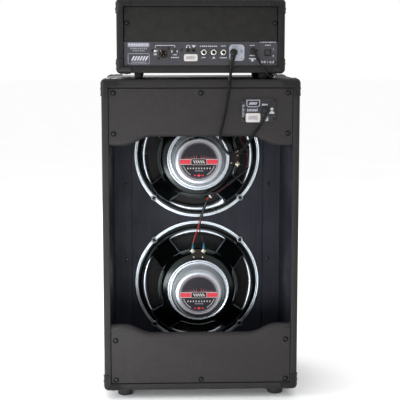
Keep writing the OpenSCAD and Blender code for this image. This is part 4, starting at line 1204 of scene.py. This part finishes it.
def mark_set():
    """All plain printed marks of the rear panel: bars, rows of dashes and a few simple shapes."""
    shape = Print(REAR_FACE)
    bar, dashes, patch = shape.bar, shape.dashes, shape.patch

    # Plain name plates at the panel's end: a barred field over a framed row of slanted blocks
    left, right, foot, top, line = 110.5, 157, 744.2, 767.4, 1.4
    bar(left, right, 780.6, 790, 1)
    dashes(155, 112.5, 783.4, 4.2, 8)
    dashes(151, 114.5, 775.8, 3.4, 9, 1)
    dashes(146.5, 119.5, 771.6, 2.4, 7, 1)
    bar(left, right, top - line, top, 1)
    bar(left, right, foot, foot + line, 1)
    bar(left, left + line, foot, top, 1)
    bar(right - line, right, foot, top, 1)
    for k in range(6):
        shape.slanted(150 - 5.8 * k, -3.6, -5, 752, 761.5)
    bar(150, 117, 747.6, 749.6, 1)
    # Line output: a bracket over the lift switch, the socket and the small button
    bar(98.5, 55.5, 783.6, 784.8)
    bar(98.5, 97.3, 779.6, 784.8)
    bar(56.7, 55.5, 779.6, 784.8)
    dashes(101, 94.6, 763.4, 4.2, 3)
    bar(87.3, 86.1, 770.5, 775.5)
    dashes(60.5, 50.5, 763.4, 2.2, 4)
    dashes(64, 46.5, 757.2, 2.4, 5)
    bar(63.4, 61.2, 769, 774)
    bar(52, 49.8, 769, 774)
    # Headphones and auxiliary marks, and the paper label under them
    patch(arc(27.3, 781, 4.2, 0, 180, 10) + arc(27.3, 781, 3.0, 180, 0, 10))
    bar(22.6, 25, 778.6, 781.6)
    bar(29.6, 32, 778.6, 781.6)
    patch([(10.4, 784.6), (20.4, 784.6), (17.2, 781.2), (13.6, 781.2)])
    bar(16.4, 14.6, 778.8, 781.4)
    bar(36.4, 7.2, 750.6, 765.4, 2)
    dashes(31.8, 12.2, 754.6, 6.6, 14, 3)
    # Sockets: return, send, footswitch
    dashes(2, -35.6, 781.4, 2.2, 9)
    dashes(-43.4, -54.4, 781.8, 2.2, 4)
    dashes(-1.8, -10.6, 757.2, 2.4, 4)
    bar(-24.2, -31.2, 756.2, 757.4)
    bar(-26.4, -29.0, 757.4, 760)
    dashes(-41, -56.5, 756.6, 2.6, 5)
    # Speaker output: pale box with a small oval and a dot
    bar(-60.8, -93.6, 751.2, 786.2, 4)
    patch(arc(-87.4, 773.6, 2.4, 0, 180, 8) + arc(-87.4, 770, 2.4, 180, 360, 8), 3, 0.2)
    patch(arc(-88, 756.4, 2.2, 0, 337.5, 15), 3, 0.2)
    dashes(-63.5, -80.5, 781.6, 2, 6, 3)
    # Low voltage inlet and power switch
    dashes(-105.8, -116.6, 783.2, 2, 4)
    bar(-104.5, -117.8, 761.8, 763.2)
    bar(-103.8, -118, 754.6, 756.8)
    bar(-108.4, -113.6, 750, 754.2)
    dashes(-127.5, -162.6, 790.2, 1.6, 8)
    dashes(-138.2, -151.6, 783.6, 2, 4)
    bar(-155.6, -156.4, 773.6, 778.4)
    bar(-155.0, -157.0, 760.4, 763.2)
    for k, (wide, tall) in enumerate([(3.2, 6.6), (3.4, 6.8), (0.9, 6.6), (3, 5.4), (3.4, 6)]):
        centre, foot = -131 - 6.4 * k, 746.2
        bar(centre - wide / 2, centre + wide / 2, foot, foot + tall * 0.72)
        bar(centre - wide * 0.75, centre + wide * 0.75, foot + tall * 0.3, foot + tall * 0.42)
    return piece("panel_print", shape, [WHITE_INK, GREY_INK, LABEL, LABEL_GREY, PALE_INK],
                 sharp=30)


def panel_screws():
    """Four dark screws that hold the rear panel."""
    shape = Shape()
    for x, z in ((104.8, 773.3), (41, 774.6), (-120.4, 773.3), (-160, 748)):
        shape.copy_in(SCREW, screw_place(x, z, REAR_FACE, x, 0.27, 0.3))
    return piece("panel_screws", shape, BLACK_STEEL, sharp=40)


def xlr():
    """Three pin socket: round-cornered flange, raised ring, deep cup, pins and latch."""
    centre = middle("xlr_socket")
    x, z, y = centre.x, centre.z, REAR_FACE
    half, ring_r, cup_r = 13, 11.4, 9.6
    outline = rounded(x - half, x + half, z - half, z + half, 4, 6)
    rows = [[(p, y, q) for p, q in outline], [(p, y + 1.1, q) for p, q in outline]]
    rows.append([(x + (p - x) * 0.97, y + 1.5, z + (q - z) * 0.97) for p, q in outline])
    angles = [atan2(q - z, p - x) for p, q in outline]
    rows.append([(x + ring_r * cos(a), y + 1.6, z + ring_r * sin(a)) for a in angles])
    shape = Shape().rows(rows, around=True)
    shape.bands([(0, [(ring_r, 1.6), (11.2, 2.4), (10.6, 2.7), (9.9, 2.4), (cup_r, 1.6), (cup_r, -4)]),
                 (2, [(cup_r, -4), (cup_r, -11.5), (0, -11.5)]),
                 (3, [(8.6, -11.4), (8.6, -2.4), (8.2, -1.6), (7.2, -1.6), (6.9, -2.4), (6.9, -11.4)])],
                (x, z), 48, y)
    for px, pz in ((-4.4, 1), (4.4, 1), (0, -4.4)):
        shape.lathe([(1.1, -12), (1.1, -4.4), (0.8, -3.4), (0, -3)], (x + px, z + pz), 16, 1, y=y)
    shape.block((x - 2.2, y - 3, z + 8.6), (x + 2.2, y + 1.9, z + 10.6), 0.4, 2)
    return piece("line_socket", shape, [PANEL, BRASS, MOULDED, BRONZE],
                 replaces=("xlr_socket",), sharp=40)


def jack_sockets():
    """Quarter-inch jack sockets: four on the rear panel, one on the cabinet, one on the front panel."""
    guitar = middle("input_jack")
    for name, node, centres, face, side in (
            ("rear_jack_sockets", "rear_jacks", [(x, JACK_Z) for x in JACK_X], REAR_FACE, 1),
            ("cabinet_jack_socket", "cab_input_jack", [CAB_JACK], BACK_FACE + 2, 1),
            ("guitar_jack_socket", "input_jack", [(guitar.x, guitar.z)], FRONT_FACE, -1)):
        shape = Shape()
        for centre in centres:
            socket_ring(shape, centre, face, side)
        piece(name, shape, [NICKEL, MOULDED], replaces=(node,), sharp=40)


def mini_sockets():
    """The two small round sockets for headphones and auxiliary input."""
    low, high = box("mini_jacks")
    r, y, z = 4.0, REAR_FACE, middle("mini_jacks").z
    shape = Shape()
    for x in (low.x + r, high.x - r):
        shape.lathe([(r + 0.1, 0), (r + 0.1, 0.8), (3.6, 1.3), (2.3, 1.3), (1.8, 0.9), (1.8, -12), (0, -12)],
                    (x, z), 32, y=y)
        shape.block((x - r, y - 16, z - 5), (x + r, y - 2, z + 5), 0.4)
    return piece("small_sockets", shape, [MOULDED], replaces=("mini_jacks",), sharp=40)


def rocker_surround():
    """Square moulded frame the power rocker sits in."""
    centre = middle("rocker_bezel")
    half = Vector((7, 0, 7))
    rows = [rounded_row(centre - half, centre + half, inset, REAR_FACE + rise, 1.2 if inset < 1 else 0.3, 3)
            for inset, rise in ((0, 0), (0, 1.0), (0.5, 1.5), (1.3, 1.5), (1.6, 1.1), (1.6, -9))]
    return piece("rocker_surround", Shape().rows(rows, around=True), MOULDED,
                 replaces=("rocker_bezel",), sharp=40)


def lift_slider():
    """White slider with three grip ribs."""
    low, high = box("lift_switch")
    shape = Shape().block(low, (high.x, high.y - 0.6, high.z), 0.2)
    for k in range(3):
        left = low.x + 0.2 + k * 1.15
        shape.block((left, high.y - 0.9, low.z + 0.2), (left + 0.7, high.y, high.z - 0.2), 0.15)
    return piece("lift_slider", shape, WHITE_PLASTIC, "lift_switch", ("lift_switch",), 40)


def input_plate():
    """Black plate on the upper back board with its plain badge, label and marks."""
    low, high = box("input_plate")
    y = high.y
    rows = [rounded_row(low, high, inset, depth, 2.4, 4)
            for inset, depth in ((0, low.y), (0, y - 0.6), (0.2, y - 0.2), (0.7, y))]
    shape = Shape().rows(rows, around=True).cap(rows[-1])
    piece("socket_plate", shape, PLATE, replaces=("input_plate",), sharp=40)
    shape = Print(y, 0.14, 0.15)
    bar, patch = shape.bar, shape.patch
    badge = [(-98.5, 667.6), (-98.5, 655), (-102.5, 652), (-122.5, 652), (-127.5, 655), (-127.5, 667.6)]
    patch(badge, 3)
    inner = [(-100, 666.2), (-100, 655.8), (-103.2, 653.4), (-122, 653.4), (-126, 655.8), (-126, 666.2)]
    patch(inner, 4, 0.24)
    for k in range(5):
        shape.slanted(-103.4 - 3.4 * k, -2, -3, 657, 662.6, 0, 0.34)
    for k in range(7):
        right = -100 - k * 3.35
        bar(right, right - 2.2, 642.6, 648.4 - (k % 2) * 1.2, 3)
    bar(-97, -128.6, 619.2, 638.6, 2)
    for k in range(10):
        bar(-103 - 2 * k, -104.2 - 2 * k, 624.6, 633.6, 1, level=0.06)
    for k in range(9):
        foot = 655.4 - k * 3.1
        bar(-89.5, -94.4 + (k % 3) * 1.4, foot, foot + 1.4, 3)
    for k in range(4):
        right = -132 - k * 3.2
        bar(right, right - 2.5, 655.2, 659)
    patch(arc(-153.4, 647.6, 3.2, 0, 345, 20))
    patch(arc(-153.4, 637.6, 5.6, 0, 180, 12))
    patch([(-139, 622), (-145.5, 622), (-145.5, 632.5)])
    return piece("plate_print", shape, [WHITE_INK, LABEL_GREY, LABEL, PALE_INK, PLATE],
                 sharp=30)


mark_set()
panel_screws()
xlr()
jack_sockets()
mini_sockets()
rocker_surround()
lift_slider()
input_plate()


# ---------- front ----------


def grille_cloth():
    """Cloth stretched over the grille frame and folded round its edges."""
    low, high = box("front_grille")
    wrap, soft, cells = 5.0, 2.0, 24

    def along(lo, hi):
        """(place, depth back from the front) across the cloth, from one folded edge to the other."""
        bend = [(lo + soft * (1 - cos(radians(a))), soft * (1 - sin(radians(a)))) for a in (0, 30, 60, 90)]
        flat = [(lo + (hi - lo) * k / cells, 0.0) for k in range(1, cells)]
        return [(lo, wrap)] + bend + flat + [(lo + hi - p, d) for p, d in reversed(bend)] + [(hi, wrap)]

    rows = [[(x, low.y + max(dx, dz), z) for x, dx in along(low.x, high.x)]
            for z, dz in along(low.z, high.z)]
    shape = Shape().rows(rows)
    made = piece("grille_cloth", shape, GRILLE, replaces=("front_grille",), sharp=60,
                 modifiers=[("SOLIDIFY", {"thickness": 0.6 * MM, "offset": -1})])


def grille_frame():
    """Wooden frame behind the cloth."""
    low, high = box("front_grille")
    cloth, wide = Vector((1, 0, 1)), Vector((24, 0, 24))
    outer_low, outer_high, inner_low, inner_high = low + cloth, high - cloth, low + wide, high - wide
    shape = Shape()
    for left, right, foot, top in ((outer_low.x, inner_low.x, outer_low.z, outer_high.z),
                                   (inner_high.x, outer_high.x, outer_low.z, outer_high.z),
                                   (inner_low.x, inner_high.x, outer_low.z, inner_low.z),
                                   (inner_low.x, inner_high.x, inner_high.z, outer_high.z)):
        shape.block((left, low.y + 1, foot), (right, high.y, top), 0.5)
    return piece("grille_frame", shape, BLACK_WOOD, sharp=40)


def front_piping():
    """Pale piping in the joint between a box and what fills its front."""
    r = 1.2
    for name, (low, high), y in (("cabinet_piping", box("front_grille"), CAB_LO.y + 4),
                                 ("head_piping", box("head_front_board"), FRONT_FACE - 2)):
        rows = []
        for k in range(10):
            a = 2 * pi * k / 10
            rows.append(rounded_row(low, high, -0.6 - r * cos(a), y + r * sin(a), 3 + cos(a), 4))
        piece(name, Shape().rows(rows, around=True, ring=True), WHITE_PLASTIC, sharp=60)


def knob_scale(shape, x, z):
    """Eleven scale marks round a knob, the ends and the middle one longer."""
    start_r = 11.4
    for k in range(11):
        a = radians(240 - 30 * k)
        tall = 3.2 if k % 5 == 0 else 2.2
        along, across = Vector((cos(a), sin(a))), Vector((-sin(a), cos(a))) * 0.35
        base = Vector((x, z)) + along * start_r
        tip = Vector((x, z)) + along * (start_r + tall)
        shape.patch([base - across, base + across, tip + across, tip - across])


def front_marks():
    """Scale marks round each knob, pointer lines on the knobs, and plain marks by the socket."""
    shape = Print(FRONT_FACE - 0.12)

    def name_bar(x, z, half):
        shape.patch(rounded(x - half, x + half, z - 19.5, z - 17.9, 0.4, 2))

    for name in KNOBS:
        front = box(name + "_knob")[0].y
        centre = middle(name + "_knob")
        x, z = centre.x, centre.z
        knob_scale(shape, x, z)
        name_bar(x, z, 7)
        line = Shape().block((x - 0.75, front - 0.15, z + 1.2), (x + 0.75, front + 0.6, z + 6.2), 0.1)
        line.block((x - 0.75, front + 0.4, z + 6.4), (x + 0.75, front + 9, z + 7.6), 0.1)
        piece(name + "_pointer", line, WHITE_PLASTIC, name + "_knob", sharp=40)
    for node in ("input_jack", "channel_button", "pilot_lamp"):
        name_bar(middle(node).x, middle(node).z, 6)
    shape.patch(rounded(PANEL_LO.x + 6, PANEL_HI.x - 6, PANEL_HI.z - 4.4, PANEL_HI.z - 3.6, 0.3, 2))
    return piece("front_print", shape, [WHITE_INK], sharp=30)


def lamp_bezel():
    """Bright ring round the pilot lamp."""
    centre = middle("pilot_lamp")
    shape = Shape().lathe([(5, 0), (5, 0.8), (4.4, 1.5), (3.5, 1.5), (3.1, 0.9), (3.1, 0)],
                          (centre.x, centre.z), 32, y=FRONT_FACE, side=-1)
    return piece("lamp_bezel", shape, NICKEL, sharp=40)


grille_cloth()
grille_frame()
front_piping()
front_marks()
lamp_bezel()


# ---------- supply ----------


def supply():
    """Low voltage supply: two moulded halves, a blank label and the lead's tapered relief."""
    low, high = box("supply_brick")
    x0, x1, z0, z1 = low.x, high.x, low.z, high.z
    y0, y1 = low.y, low.y + 82
    cx = middle("supply_brick").x
    deep = 14
    ends = ((1.6, y0), (0.5, y0 + 0.7), (0, y0 + 2), (0, y1 - 2), (0.5, y1 - 0.7), (1.6, y1))
    rows = [rounded_row(low, high, inset, y, 4) for inset, y in ends]
    hole = rounded(cx - 12, cx + 12, z0 + 7, z0 + 23, 2, 5)
    mouth, floor = ([(x, y, z) for x, z in hole] for y in (y0, y0 + deep))
    shape = Shape().rows(rows, around=True).rows([rows[0], mouth, floor], around=True)
    shape.cap(floor).cap(rows[-1])
    for edge in (x0, x1):
        shape.block((edge - 0.25, y0 + 3, z0 + 14.6), (edge + 0.25, y1 - 3, z0 + 15.4), 0.1)
    for x in (cx - 6, cx, cx + 6):
        shape.block((x - 1, y0 + 4, z0 + 13), (x + 1, y0 + deep + 0.5, z0 + 17), 0.2, 1)
    shape.block((cx - 15, y0 + 24, z1 - 0.1), (cx + 15, y1 - 20, z1 + 0.12), 0, 2)
    tip = high.y - y1
    shape.lathe([(5, -0.5), (5, 2), (4.4, 3), (4.4, 5), (3.6, 5.6), (3.6, 8), (3.0, 8.6), (2.8, tip - 1),
                 (2.4, tip), (0, tip)], (cx, z0 + 9), 24, y=y1)
    return piece("supply_case", shape, [MOULDED, NICKEL, LABEL_GREY],
                 replaces=("supply_brick",), sharp=40)


supply()


# ---------- CAD parts that keep their own shape ----------


def finish_cad_parts():
    """Gives each CAD part that keeps its own shape its material."""
    finishes = {
        PANEL: ("rear_panel", "front_panel"),
        TRAY_PAINT: ("chassis_tray",),
        ZINC: ("control_bodies",),
        CIRCUIT: ("main_board",),
        ALUMINIUM: ("heat_sink",),
        MOULDED: ("dc_inlet", *(name + "_knob" for name in KNOBS)),
        GLOSS: ("power_rocker", "sim_button"),
        WHITE_PLASTIC: ("channel_button",),
        LENS: ("pilot_lamp",),
        BLACK_WOOD: ("cleats", "baffle"),
        DOPED: ("suspensions",),
    }
    for material, names in finishes.items():
        for name in names:
            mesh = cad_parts[name].data
            mesh.materials.clear()
            mesh.materials.append(material)


finish_cad_parts()
